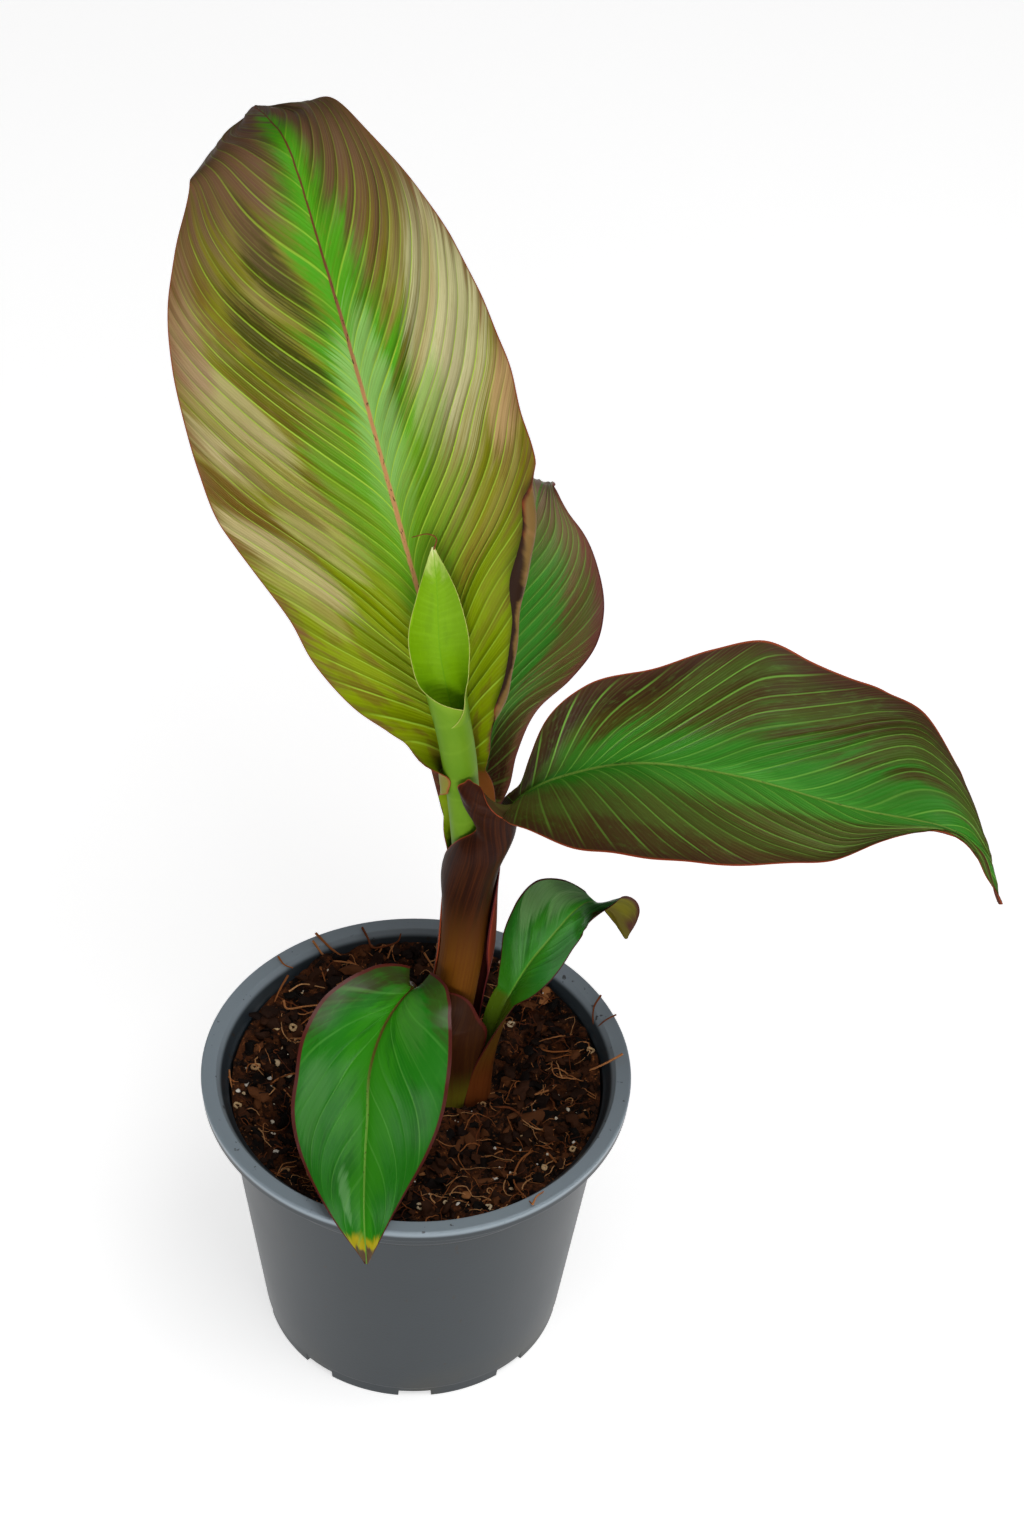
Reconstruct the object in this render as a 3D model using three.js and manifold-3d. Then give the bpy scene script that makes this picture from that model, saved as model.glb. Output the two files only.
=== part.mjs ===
// A young red-leaved Abyssinian banana in a plastic nursery pot, in millimetres with +Z up.
// The origin is the middle of the pot's underside, and the plant's front faces -Y.
import * as THREE from "three";
import { mergeVertices } from "three/addons/utils/BufferGeometryUtils.js";
import Module from "manifold-3d";

const wasm = await Module();
wasm.setup();

// Clearance between pieces that touch, and between a stalk's end and its leaf.
const GAP = 0.3;
const JOINT_GAP = 0.7;

// Points nearer than this are one point, and a smaller turn in radians counts as straight.
const MERGE_DISTANCE = 1e-3;
const STRAIGHT_TURN = 1e-3;

// Tension of the smooth curves, and the step at which slopes are taken on a leaf.
const TENSION = 0.5;
const SLOPE_STEP = 1e-3;

// Pot: a tapered wall between a foot band and a collar, under a wide rim with a lip.
const POT_HEIGHT = 145;
const RIM_RADIUS = 95;
const RIM_INNER_RADIUS = 88;
const LIP_DROP = 6.5;
const LIP_THICKNESS = 2;
const LIP_TAPER = 0.5;
const RIM_ROUND = 1;
const COLLAR_DROP = 21;
const COLLAR_RADIUS = 84.6;
const COLLAR_STEP = 1.2;
const NECK_RADIUS = 86;
const FOOT_RADIUS = 67.6;
const FOOT_HEIGHT = 6;
const FOOT_STEP = 1;
const WALL = 2.4;
const FLOOR_THICKNESS = 3;
const POT_SIDES = 56;
const DRAIN_COUNT = 9;
const DRAIN_WIDTH = 15;
const DRAIN_HEIGHT = 3.6;
const DRAIN_TURN = 0.585;

// Potting mix, level where the plant stands and a little higher at the wall.
const SOIL_LEVEL = 124;
const SOIL_EDGE_LEVEL = 131;
const SOIL_FLAT_RADIUS = 46;

// Stem of wrapped leaf sheaths, cut flat at the soil and at the mouth of the upper sheaths.
const STEM_FOOT = [15, 9.5];
const STEM_HEAD = [20.5, 14];
const STEM_TOP = 262;
const STEM_RADII = [13.5, 12.4, 11.8, 11.5, 11.3, 11];
const STEM_SIDES = 24;

// Each leaf follows a spine from its base to its tip. The face vectors point out of the upper side.
// The reach of each half from the midrib is in millimetres. Fold lifts a half at the midrib and curl
// bends it towards its margin, both in degrees. Lists run at even steps from base to tip.
// Square turns the cross-sections from the bent midrib towards the straight line to the tip.
const tallLeaf = {
  thickness: 3.2,
  spine: [
    [18, 25, 303], [6, 34, 348], [-10, 50, 402], [-27, 68, 458],
    [-44, 88, 508], [-59, 110, 544], [-68, 130, 549], [-74, 150, 538],
  ],
  face: [[0, -0.9, 0.3], [0, -0.9, 0.35], [0, -0.9, 0.4], [0, -0.8, 0.6], [0, -0.2, 1]],
  left: { reach: [8, 38, 52, 63, 73, 66, 40, 2], fold: [30, 12, 6, 4, 0], curl: [10, 6, 4, -6, -20] },
  right: { reach: [7, 36, 58, 70, 65, 50, 30, 2], fold: [34, 40, 32, 26, 20], curl: [-6, -6, -6, -6, -10] },
  rows: 26,
  columns: 5,
};
const backLeaf = {
  thickness: 1.8,
  spine: [
    [23, 36, 274], [28, 52, 306], [34, 76, 336], [40, 102, 358],
    [44, 124, 374], [48, 142, 362], [50, 152, 346],
  ],
  face: [[0, -0.85, 0.5], [0, -0.75, 0.7], [0, -0.5, 0.9], [0, 0.2, 1]],
  left: { reach: [14, 22, 33, 36, 27, 14, 1.5], fold: [30, 20, 14, 10], curl: [0, 0, 0, 0] },
  right: { reach: [11, 26, 38, 33, 15, 5, 1.5], fold: [40, 26, 18, 10], curl: [-10, -20, -20, -10] },
  rows: 20,
  columns: 4,
};
const rightLeaf = {
  thickness: 2.4,
  spine: [
    [39, 0, 307], [56, -6, 327], [88, -14, 345], [128, -22, 348],
    [172, -32, 339], [212, -42, 336], [227, -45, 326], [235, -46, 305],
  ],
  face: [[-0.2, -0.4, 0.9], [-0.1, -0.4, 0.9], [0.1, -0.4, 0.9], [0.35, -0.4, 0.9], [0.8, -0.4, 0.5]],
  left: { reach: [4, 28, 38, 51, 52, 40, 15, 1.5], fold: [40, 24, 20, 16, 10], curl: [0, 0, -10, -20, -10] },
  right: { reach: [13, 41, 50, 48, 37, 16, 5, 1.5], fold: [45, 26, 20, 14, 10], curl: [0, 0, 0, 0, 0] },
  rows: 24,
  columns: 5,
};
const lowLeaf = {
  thickness: 1.1,
  spine: [
    [41, 8, 186], [45, 8, 210], [52, 7, 227], [62, 8, 237],
    [73, 10, 243], [82, 14, 233], [89, 14, 217],
  ],
  face: [
    [-0.6, -0.6, 0.4], [-0.5, -0.6, 0.6], [-0.2, -0.5, 0.9],
    [0.3, -0.2, 0.9], [0.3, 1, 0.6], [0.2, 1, 0.3],
  ],
  left: {
    reach: [4, 8, 16, 20, 11, 6, 1],
    fold: [30, 25, 20, 0, 40, 60],
    curl: [0, -10, -10, -30, -10, 0],
  },
  right: {
    reach: [5, 13, 16, 12, 7, 13, 1],
    fold: [30, 15, 5, 0, 0, 0],
    curl: [0, -10, -10, 0, 0, 0],
  },
  rows: 20,
  columns: 3,
};
const frontLeaf = {
  thickness: 1.4,
  square: 0.75,
  spine: [
    [-2, -3, 198], [-13, -12, 186], [-19, -29, 174], [-19, -49, 165],
    [-19, -67, 158], [-18, -90, 150], [-16, -106, 137],
  ],
  face: [[0, 0, 1], [0, -0.25, 1], [0, -0.4, 1], [0, -0.6, 0.8], [0, -0.8, 0.6]],
  left: {
    reach: [13, 25, 29, 30, 29, 25, 19, 10, 1],
    fold: [40, 18, 6, 6, 10],
    curl: [-40, -26, -20, -10, 0],
    lobe: 5,
  },
  right: {
    reach: [15, 30, 37, 38, 35, 29, 21, 11, 1],
    fold: [62, 32, 14, 8, 10],
    curl: [-20, -20, -16, -10, 0],
    lobe: 5,
  },
  rows: 18,
  columns: 4,
};
const spearLeaf = {
  thickness: 1.6,
  spine: [
    [19.5, 18.5, 262.3], [17.4, 17.6, 296], [13, 19, 330],
    [6, 22, 366], [4, 25, 397], [2, 27, 418],
  ],
  face: [[0, -1, 0.2], [0, -1, 0.3]],
  left: { reach: [17, 18, 19.5, 22, 13, 1], fold: [0, 0, 0, 0, 10, 10], curl: [168, 168, 160, 110, 60, 40] },
  right: { reach: [17, 18, 19.5, 22, 13, 1], fold: [0, 0, 0, 0, 10, 10], curl: [168, 168, 160, 110, 50, 40] },
  rows: 20,
  columns: 5,
};

// Stalks clasp the stem low down and run up into the base of their leaf, whose first section they end in.
const tallStalk = {
  thickness: 2,
  spine: [[19.5, 22.8, 262.3], [19, 23.2, 280]],
  face: [[0, -1, 0], [0, -1, 0.1]],
  left: { reach: [14, 13], fold: [0, 0], curl: [80, 75] },
  right: { reach: [14, 12], fold: [0, 0], curl: [80, 70] },
  lead: 8,
  rows: 6,
  columns: 4,
};
const backStalk = {
  thickness: 1.5,
  spine: [[15.5, 23.9, 124.3], [16.6, 23.8, 160], [18.2, 24.7, 205], [19.8, 26.4, 240]],
  face: [[0, -1, 0], [0, -1, 0], [0, -1, 0], [0, -1, 0.1]],
  left: { reach: [15, 16, 25, 18], fold: [0, 0, 0, 0], curl: [60, 72, 113, 60] },
  right: { reach: [15, 16, 25, 10], fold: [0, 0, 0, 0], curl: [60, 72, 113, 36] },
  lead: 12,
  rows: 16,
  columns: 4,
};
const rightStalk = {
  thickness: 3,
  spine: [[32.5, 13, 236], [34, 10, 262], [36, 5, 284]],
  face: [[-1, 0, 0], [-1, -0.05, 0.1], [-0.8, -0.2, 0.5]],
  left: { reach: [8, 6, 5], fold: [0, 0, 10], curl: [35, 25, 10] },
  right: { reach: [24, 24, 11], fold: [0, 0, 10], curl: [105, 106, 50] },
  joint: 1.6,
  lead: 9,
  rows: 9,
  columns: 4,
};
const lowStalk = {
  spine: [[29, 3, 124.3], [31, 4, 150], [36, 6, 172]],
  face: [[-0.9, 0.4, 0], [-0.9, 0.2, 0.2], [-0.8, -0.2, 0.3]],
  left: { reach: [9, 8, 6], fold: [0, 0, 10], curl: [35, 40, 30] },
  right: { reach: [11, 10, 7], fold: [0, 0, 10], curl: [35, 45, 30] },
  joint: 0.6,
  lead: 8,
  rows: 7,
  columns: 3,
};
const frontStalk = {
  spine: [[-1.2, 7.5, 124.3], [-0.5, 5.5, 152], [0, 2, 180]],
  face: [[1, 0.1, 0], [1, 0.1, 0], [0.9, 0.1, 0.3]],
  left: { reach: [30, 30, 14], fold: [0, 0, 10], curl: [106, 115, 45] },
  right: { reach: [12, 10, 7], fold: [0, 0, 10], curl: [42, 36, 20] },
  endReach: 4,
  joint: 1,
  lead: 7,
  rows: 10,
  columns: 5,
};

// Colours of the parts.
const COLOURS = {
  pot: 0x566069,
  soil: 0x2e1a0e,
  stem: 0x4a2413,
  stalk: 0x4d2a17,
  leaf: 0x3f7a26,
  backLeaf: 0x35591f,
  spear: 0x7fae1c,
};

// Smooth value at t of a list of numbers at even steps.
function ramp(values, t) {
  const points = values.map((v) => new THREE.Vector3(v, 0, 0));
  return new THREE.CatmullRomCurve3(points, false, "catmullrom", TENSION).getPoint(t).x;
}

// Smooth curve through points in space.
function curveOf(points) {
  const vectors = points.map((p) => new THREE.Vector3(...p));
  return new THREE.CatmullRomCurve3(vectors, false, "catmullrom", TENSION);
}

// Distance from the midrib and rise above it at the share s of a half's reach, along an arc.
function arcOf(reach, fold, curl, s) {
  const start = THREE.MathUtils.degToRad(fold);
  const turn = THREE.MathUtils.degToRad(curl);
  if (Math.abs(turn) < STRAIGHT_TURN) {
    return [reach * s * Math.cos(start), reach * s * Math.sin(start)];
  }
  return [
    (reach * (Math.sin(start + turn * s) - Math.sin(start))) / turn,
    (reach * (Math.cos(start) - Math.cos(start + turn * s))) / turn,
  ];
}

// A function that gives the direction square to a leaf's cross-section at t.
function directionOf(leaf) {
  const spine = curveOf(leaf.spine);
  const chord = spine.getPointAt(1).sub(spine.getPointAt(0)).normalize();
  return (t) => spine.getTangentAt(t).lerp(chord, leaf.square ?? 0).normalize();
}

// A function that gives the point of a leaf at t along the midrib and s across it, from -1 to 1.
const LOBE_SHARE = 0.35;
function surfaceOf(leaf) {
  const spine = curveOf(leaf.spine);
  const face = curveOf(leaf.face);
  const direction = directionOf(leaf);
  return (t, s) => {
    const along = direction(t);
    const up = face.getPoint(t);
    const across = new THREE.Vector3().crossVectors(along, up).normalize();
    up.crossVectors(across, along);
    const half = s < 0 ? leaf.left : leaf.right;
    const share = Math.abs(s);
    const [out, rise] = arcOf(ramp(half.reach, t), ramp(half.fold, t), ramp(half.curl, t), share);
    const back = (half.lobe ?? 0) * share ** 3 * Math.max(0, 1 - t / LOBE_SHARE) ** 2;
    return spine
      .getPointAt(t)
      .addScaledVector(across, Math.sign(s) * out)
      .addScaledVector(up, rise)
      .addScaledVector(along, -back);
  };
}

// Closed shell of a leaf's thickness between two shares of its length.
function leafSolid(leaf, from = 0, to = 1) {
  const surface = surfaceOf(leaf);
  const across = 2 * leaf.columns;
  const sides = [[], []];
  for (let i = 0; i <= leaf.rows; i++) {
    const t = from + ((to - from) * i) / leaf.rows;
    for (let j = 0; j <= across; j++) {
      const s = j / leaf.columns - 1;
      const ahead = surface(Math.min(t + SLOPE_STEP, 1), s);
      const behind = surface(Math.max(t - SLOPE_STEP, 0), s);
      const outward = surface(t, Math.min(s + SLOPE_STEP, 1));
      const inward = surface(t, Math.max(s - SLOPE_STEP, -1));
      const normal = ahead.sub(behind).cross(outward.sub(inward)).normalize();
      normal.multiplyScalar(leaf.thickness / 2);
      const middle = surface(t, s);
      sides[0].push(middle.clone().add(normal));
      sides[1].push(middle.clone().sub(normal));
    }
  }
  return shellBetween(sides[0], sides[1], leaf.rows, across);
}

// Closed mesh between an upper and a lower grid of points.
function shellBetween(upper, lower, rows, across) {
  const points = [...upper, ...lower];
  const wide = across + 1;
  const below = upper.length;
  const faces = [];
  const quad = (a, b, c, d) => faces.push(a, b, c, a, c, d);
  for (let i = 0; i < rows; i++) {
    for (let j = 0; j < across; j++) {
      const a = i * wide + j;
      quad(a, a + wide, a + wide + 1, a + 1);
      quad(below + a, below + a + 1, below + a + wide + 1, below + a + wide);
    }
    const first = i * wide;
    const last = first + across;
    quad(first, below + first, below + first + wide, first + wide);
    quad(last, last + wide, below + last + wide, below + last);
  }
  const end = rows * wide;
  for (let j = 0; j < across; j++) {
    quad(j, j + 1, below + j + 1, below + j);
    quad(end + j, below + end + j, below + end + j + 1, end + j + 1);
  }
  const geometry = new THREE.BufferGeometry().setFromPoints(points);
  geometry.setIndex(faces);
  return geometry;
}

// A stalk completed with the first section of its leaf, reached in line with the leaf's midrib.
function stalkOf(stalk, leaf) {
  const base = new THREE.Vector3(...leaf.spine[0]);
  const ahead = directionOf(leaf)(0);
  const near = base.clone().addScaledVector(ahead, -(stalk.joint ?? JOINT_GAP));
  const approach = base.clone().addScaledVector(ahead, -stalk.lead);
  const half = (key) => {
    const own = stalk[key];
    const next = leaf[key];
    const bring = (name, last) => [...own[name], (own[name].at(-1) + last) / 2, last];
    return {
      reach: bring("reach", Math.min(next.reach[0], stalk.endReach ?? Infinity)),
      fold: bring("fold", next.fold[0]),
      curl: bring("curl", next.curl[0]),
    };
  };
  return {
    ...stalk,
    thickness: stalk.thickness ?? leaf.thickness,
    spine: [...stalk.spine, approach.toArray(), near.toArray()],
    face: [...stalk.face, leaf.face[0], leaf.face[0]],
    left: half("left"),
    right: half("right"),
  };
}

// Solid of revolution about Z of a profile of [radius, height] points that starts and ends on the axis.
function turned(profile, sides) {
  const points = profile.map(([radius, height]) => new THREE.Vector2(radius, height));
  return new THREE.LatheGeometry(points, sides).rotateX(Math.PI / 2);
}

// A closed geometry as a solid that can be cut, and a cut solid as geometry.
function toSolid(geometry) {
  const bare = new THREE.BufferGeometry();
  bare.setAttribute("position", geometry.getAttribute("position"));
  bare.setIndex(geometry.index);
  const merged = mergeVertices(bare, MERGE_DISTANCE);
  return new wasm.Manifold(
    new wasm.Mesh({
      numProp: 3,
      vertProperties: merged.getAttribute("position").array,
      triVerts: new Uint32Array(merged.index.array),
    }),
  );
}

function toGeometry(solid) {
  const mesh = solid.getMesh();
  const geometry = new THREE.BufferGeometry();
  geometry.setAttribute("position", new THREE.BufferAttribute(mesh.vertProperties, 3));
  geometry.setIndex(new THREE.BufferAttribute(mesh.triVerts, 1));
  return geometry;
}

// Radius of the pot's outer wall below the collar.
function wallRadius(height) {
  const low = FOOT_RADIUS + FOOT_STEP;
  const top = POT_HEIGHT - COLLAR_DROP;
  return low + ((COLLAR_RADIUS - COLLAR_STEP - low) * (height - FOOT_HEIGHT)) / (top - FOOT_HEIGHT);
}

function potGeometry() {
  const collar = POT_HEIGHT - COLLAR_DROP;
  const under = POT_HEIGHT - LIP_THICKNESS;
  const lipEnd = POT_HEIGHT - LIP_DROP;
  const profile = [
    [0, 0],
    [FOOT_RADIUS, 0],
    [FOOT_RADIUS + FOOT_STEP / 2, FOOT_HEIGHT],
    [FOOT_RADIUS + FOOT_STEP, FOOT_HEIGHT + FOOT_STEP],
    [wallRadius(collar), collar],
    [COLLAR_RADIUS, collar + COLLAR_STEP],
    [NECK_RADIUS, lipEnd],
    [RIM_INNER_RADIUS + WALL, under],
    [RIM_RADIUS - LIP_THICKNESS, under],
    [RIM_RADIUS - LIP_THICKNESS - LIP_TAPER, lipEnd],
    [RIM_RADIUS - LIP_TAPER, lipEnd],
    [RIM_RADIUS, POT_HEIGHT - RIM_ROUND],
    [RIM_RADIUS - RIM_ROUND, POT_HEIGHT],
    [RIM_INNER_RADIUS, POT_HEIGHT],
    [NECK_RADIUS - WALL, lipEnd],
    [COLLAR_RADIUS - WALL, collar + COLLAR_STEP],
    [wallRadius(collar) - WALL, collar],
    [wallRadius(FLOOR_THICKNESS) - WALL, FLOOR_THICKNESS],
    [0, FLOOR_THICKNESS],
  ];
  let pot = toSolid(turned(profile, POT_SIDES));
  for (let k = 0; k < DRAIN_COUNT; k++) {
    const angle = DRAIN_TURN + (k * 2 * Math.PI) / DRAIN_COUNT;
    const notch = new THREE.BoxGeometry(DRAIN_WIDTH, DRAIN_WIDTH, 2 * DRAIN_HEIGHT);
    notch.translate(FOOT_RADIUS, 0, 0).rotateZ(angle);
    pot = pot.subtract(toSolid(notch));
  }
  return toGeometry(pot);
}

function soilGeometry() {
  const inner = (height) => wallRadius(height) - WALL - GAP;
  const low = FLOOR_THICKNESS + GAP;
  const collar = POT_HEIGHT - COLLAR_DROP;
  return turned(
    [
      [0, low],
      [inner(low), low],
      [inner(collar), collar],
      [COLLAR_RADIUS - WALL - GAP, collar + 2 * COLLAR_STEP],
      [COLLAR_RADIUS - WALL - GAP, SOIL_EDGE_LEVEL],
      [SOIL_FLAT_RADIUS, SOIL_LEVEL],
      [0, SOIL_LEVEL],
    ],
    POT_SIDES,
  );
}

// The stem is turned about its own axis, then leant from foot to head.
function stemGeometry(extra = 0) {
  const low = SOIL_LEVEL + GAP;
  const rise = STEM_TOP + extra - low;
  const rings = STEM_RADII.map((radius, k) => [radius + extra, (rise * k) / (STEM_RADII.length - 1)]);
  const lean = new THREE.Matrix4().set(
    1, 0, (STEM_HEAD[0] - STEM_FOOT[0]) / rise, STEM_FOOT[0],
    0, 1, (STEM_HEAD[1] - STEM_FOOT[1]) / rise, STEM_FOOT[1],
    0, 0, 1, low,
    0, 0, 0, 1,
  );
  return turned([[0, 0], ...rings, [0, rise]], STEM_SIDES).applyMatrix4(lean);
}

// A stalk trimmed to stand just clear of the soil and the stem.
const stemSpace = toSolid(stemGeometry(GAP));
function clearOfStem(geometry) {
  const above = toSolid(geometry).trimByPlane([0, 0, 1], SOIL_LEVEL + GAP);
  return toGeometry(above.subtract(stemSpace));
}

const plant = new THREE.Group();

function add(name, geometry, colour) {
  const mesh = new THREE.Mesh(geometry, new THREE.MeshStandardMaterial({ color: colour, roughness: 0.6 }));
  mesh.name = name;
  plant.add(mesh);
}

// Share of the low right leaf's length at which it bends over and is split.
const LOW_LEAF_BEND = 0.68;
const LOW_LEAF_SLIT = 0.008;
const LOW_LEAF_TIP_ROWS = 8;

add("pot", potGeometry(), COLOURS.pot);
add("soil", soilGeometry(), COLOURS.soil);
add("stem", stemGeometry(), COLOURS.stem);
add("front_leaf_stalk", clearOfStem(leafSolid(stalkOf(frontStalk, frontLeaf))), COLOURS.stalk);
add("front_leaf", leafSolid(frontLeaf), COLOURS.leaf);
add("low_right_leaf_stalk", clearOfStem(leafSolid(stalkOf(lowStalk, lowLeaf))), COLOURS.stalk);
add("low_right_leaf", leafSolid(lowLeaf, 0, LOW_LEAF_BEND - LOW_LEAF_SLIT), COLOURS.leaf);
const lowLeafTip = { ...lowLeaf, rows: LOW_LEAF_TIP_ROWS };
add("low_right_leaf_tip", leafSolid(lowLeafTip, LOW_LEAF_BEND + LOW_LEAF_SLIT), COLOURS.leaf);
add("back_leaf_stalk", clearOfStem(leafSolid(stalkOf(backStalk, backLeaf))), COLOURS.stalk);
add("back_leaf", leafSolid(backLeaf), COLOURS.backLeaf);
add("right_leaf_stalk", clearOfStem(leafSolid(stalkOf(rightStalk, rightLeaf))), COLOURS.stalk);
add("right_leaf", leafSolid(rightLeaf), COLOURS.leaf);
add("tall_leaf_stalk", clearOfStem(leafSolid(stalkOf(tallStalk, tallLeaf))), COLOURS.stalk);
add("tall_leaf", leafSolid(tallLeaf), COLOURS.leaf);
add("spear_leaf", clearOfStem(leafSolid(spearLeaf)), COLOURS.spear);

export default plant;
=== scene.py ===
import math
from collections import namedtuple
from types import SimpleNamespace

import bmesh
import bpy
import numpy as np
from mathutils import Matrix, Vector


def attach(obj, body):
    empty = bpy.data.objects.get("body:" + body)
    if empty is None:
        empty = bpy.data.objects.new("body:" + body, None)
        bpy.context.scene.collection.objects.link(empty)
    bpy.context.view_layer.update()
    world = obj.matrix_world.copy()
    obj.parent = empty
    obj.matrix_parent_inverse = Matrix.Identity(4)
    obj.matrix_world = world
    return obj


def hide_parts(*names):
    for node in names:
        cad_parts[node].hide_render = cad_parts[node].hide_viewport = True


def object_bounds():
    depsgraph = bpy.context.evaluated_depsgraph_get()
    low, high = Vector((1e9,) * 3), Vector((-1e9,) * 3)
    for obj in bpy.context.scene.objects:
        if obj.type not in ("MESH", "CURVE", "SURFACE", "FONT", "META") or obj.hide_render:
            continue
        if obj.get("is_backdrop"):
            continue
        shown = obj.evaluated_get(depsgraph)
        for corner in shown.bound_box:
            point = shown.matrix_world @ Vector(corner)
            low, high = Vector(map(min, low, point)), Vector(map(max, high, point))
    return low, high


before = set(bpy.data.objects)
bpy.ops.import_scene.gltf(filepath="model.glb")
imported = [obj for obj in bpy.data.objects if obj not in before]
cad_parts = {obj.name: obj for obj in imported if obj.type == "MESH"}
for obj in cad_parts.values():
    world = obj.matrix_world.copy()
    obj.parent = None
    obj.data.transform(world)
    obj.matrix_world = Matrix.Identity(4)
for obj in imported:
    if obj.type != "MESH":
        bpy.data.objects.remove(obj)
CAD_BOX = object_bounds()

# A young red-leaved Abyssinian banana in a nursery pot. Shapes are in millimetres until a mesh is made.
# Colours are display red, green and blue from 0 to 255.
MM = 0.001
SEED = 7

# Camera: place in millimetres, angles in degrees, focal length in millimetres on its sensor.
CAMERA_PLACE = (36.8, -1090.1, 1310.2)
CAMERA_PITCH = 42.08
CAMERA_ROLL = -2.32
CAMERA_LENS = 84.375
CAMERA_SENSOR = 36

# Studio: floor in millimetres, glow of the floor and the world, power of the lights in watts.
FLOOR_HALF = 4000
FLOOR_DROP = -0.05
FLOOR_GLOW = 0.62
WORLD_STRENGTH = 0.2
KEY_POWER = 12
FRONT_POWER = 1.2
SIDE_POWER = 1.5
WHITE = (255, 255, 255)

# Pot, as the solid is: radii and heights.
POT_HEIGHT = 145
RIM_RADIUS = 95
RIM_INNER_RADIUS = 88
LIP_DROP = 6.5
LIP_THICKNESS = 2
COLLAR_HEIGHT = 124
COLLAR_RADIUS = 84.6
COLLAR_STEP = 1.2
NECK_RADIUS = 86
FOOT_RADIUS = 67.6
FOOT_HEIGHT = 6
WALL = 2.4
FLOOR_THICKNESS = 3
DRAIN_COUNT = 9
DRAIN_WIDTH = 15
DRAIN_HEIGHT = 3.6
DRAIN_TURN = 0.585

# Pot, finer than the solid: the step over the foot band, the gap between the two lines of the collar,
# the hollow underside, and how far from a rounded edge the mesh is held.
FOOT_STEP = 1
LINE_GAP = 3.6
UNDERSIDE_RECESS = 1
EDGE_HOLD = 1.8
POT_SEGMENTS = 216

# Potting mix. Clods are (count, smallest radius, largest radius), sunk by a share of their radius. The
# axis of tubes is one that no fibre runs along.
SOIL_RADIUS = 81.8
SOIL_LEVEL = 126
SOIL_EDGE_RISE = 9
SOIL_BACK_RISE = 7
SOIL_FLAT_RADIUS = 46
SOIL_DEPTH = 60
SOIL_STEP = 0.9
STEM_CLEAR = 19
CLOD_SIZES = [(110, 5, 10), (420, 2.2, 4.5), (1700, 0.9, 2.2)]
CLOD_SINK = (0.3, 0.8)
CHIP_SIZES = [(2.5, 5.5), (1.3, 2.6), (0.5, 0.9)]
RING_SIZES = (1.1, 1.5)
RING_POINTS = 15
FIBRE_STEPS = 12
FIBRE_WANDER = 2.4
THREAD_STEPS = 6
TUBE_AXIS = (0.31, 0.17, 0.93)
CRUMB_COLOURS = [
    (20, 11, 7), (40, 21, 11), (56, 30, 15), (66, 36, 18),
    (14, 8, 5), (94, 54, 27), (48, 26, 13), (28, 15, 9),
]
BARK_COLOURS = [(40, 23, 14), (62, 35, 20), (104, 62, 34), (28, 17, 11), (160, 106, 62)]
FIBRE_COLOURS = [(156, 94, 50), (116, 62, 32), (182, 120, 72), (88, 46, 26), (200, 146, 96)]
PERLITE_COLOURS = [(230, 218, 196), (212, 184, 146), (240, 232, 218)]
RING_COLOURS = [(206, 172, 126), (224, 200, 162), (188, 148, 104)]
DRY_COLOURS = [(120, 62, 34)]

# Stem of wrapped sheaths: its axis from the soil to the mouth of the upper sheaths.
STEM_FOOT = np.array([15.0, 9.5, 120.0])
STEM_HEAD = np.array([18.5, 14.0, 262.0])
STEM_CORE_RADIUS = 7
STEM_ROWS = 90
STEM_SIDES = 96

# Leaf meshes: how points crowd at the midrib, in a rolled margin and at the mouth of the sheath, and the
# shares of a leaf over which veins leave the midrib, lobes end and the stalk turns into the blade.
MIDRIB_CROWDING = 1.2
ROLL_COLUMNS = 9
MOUTH_CROWDING = 1.5
DECURRENT_SHARE = 0.05
LOBE_SHARE = 0.35
STALK_TURN_SHARE = 0.25
STRAIGHT_TURN = 1e-3
FOOT_EASE = 0.06
TIP_EASE = 0.05
RIB_FOOT_EASE = 0.125
RIB_TIP_EASE = 0.1
MARGIN_THINNING = 0.6

# Veins and relief: a vein's run at the midrib, all along and at the margin, the pleats, the length of the
# swells in veins, and the margin's waves as their number against the leaf's own and their shift.
VEIN_COURSE = (0.06, 0.8, 0.14)
MOST_VEINS = 400
PLEAT_STRENGTH = (0.35, 1)
SWELL_VEINS = (4.3, 7.1)
MARGIN_WAVES = ((1, 0.0), (2.3, 1.7))
EDGE_SOFT = 0.012


def linear(colour):
    """A display colour as linear RGBA."""
    share = np.array(colour) / 255
    light = np.where(share <= 0.04045, share / 12.92, ((share + 0.055) / 1.055) ** 2.4)
    return (*(float(x) for x in light), 1.0)


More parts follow.
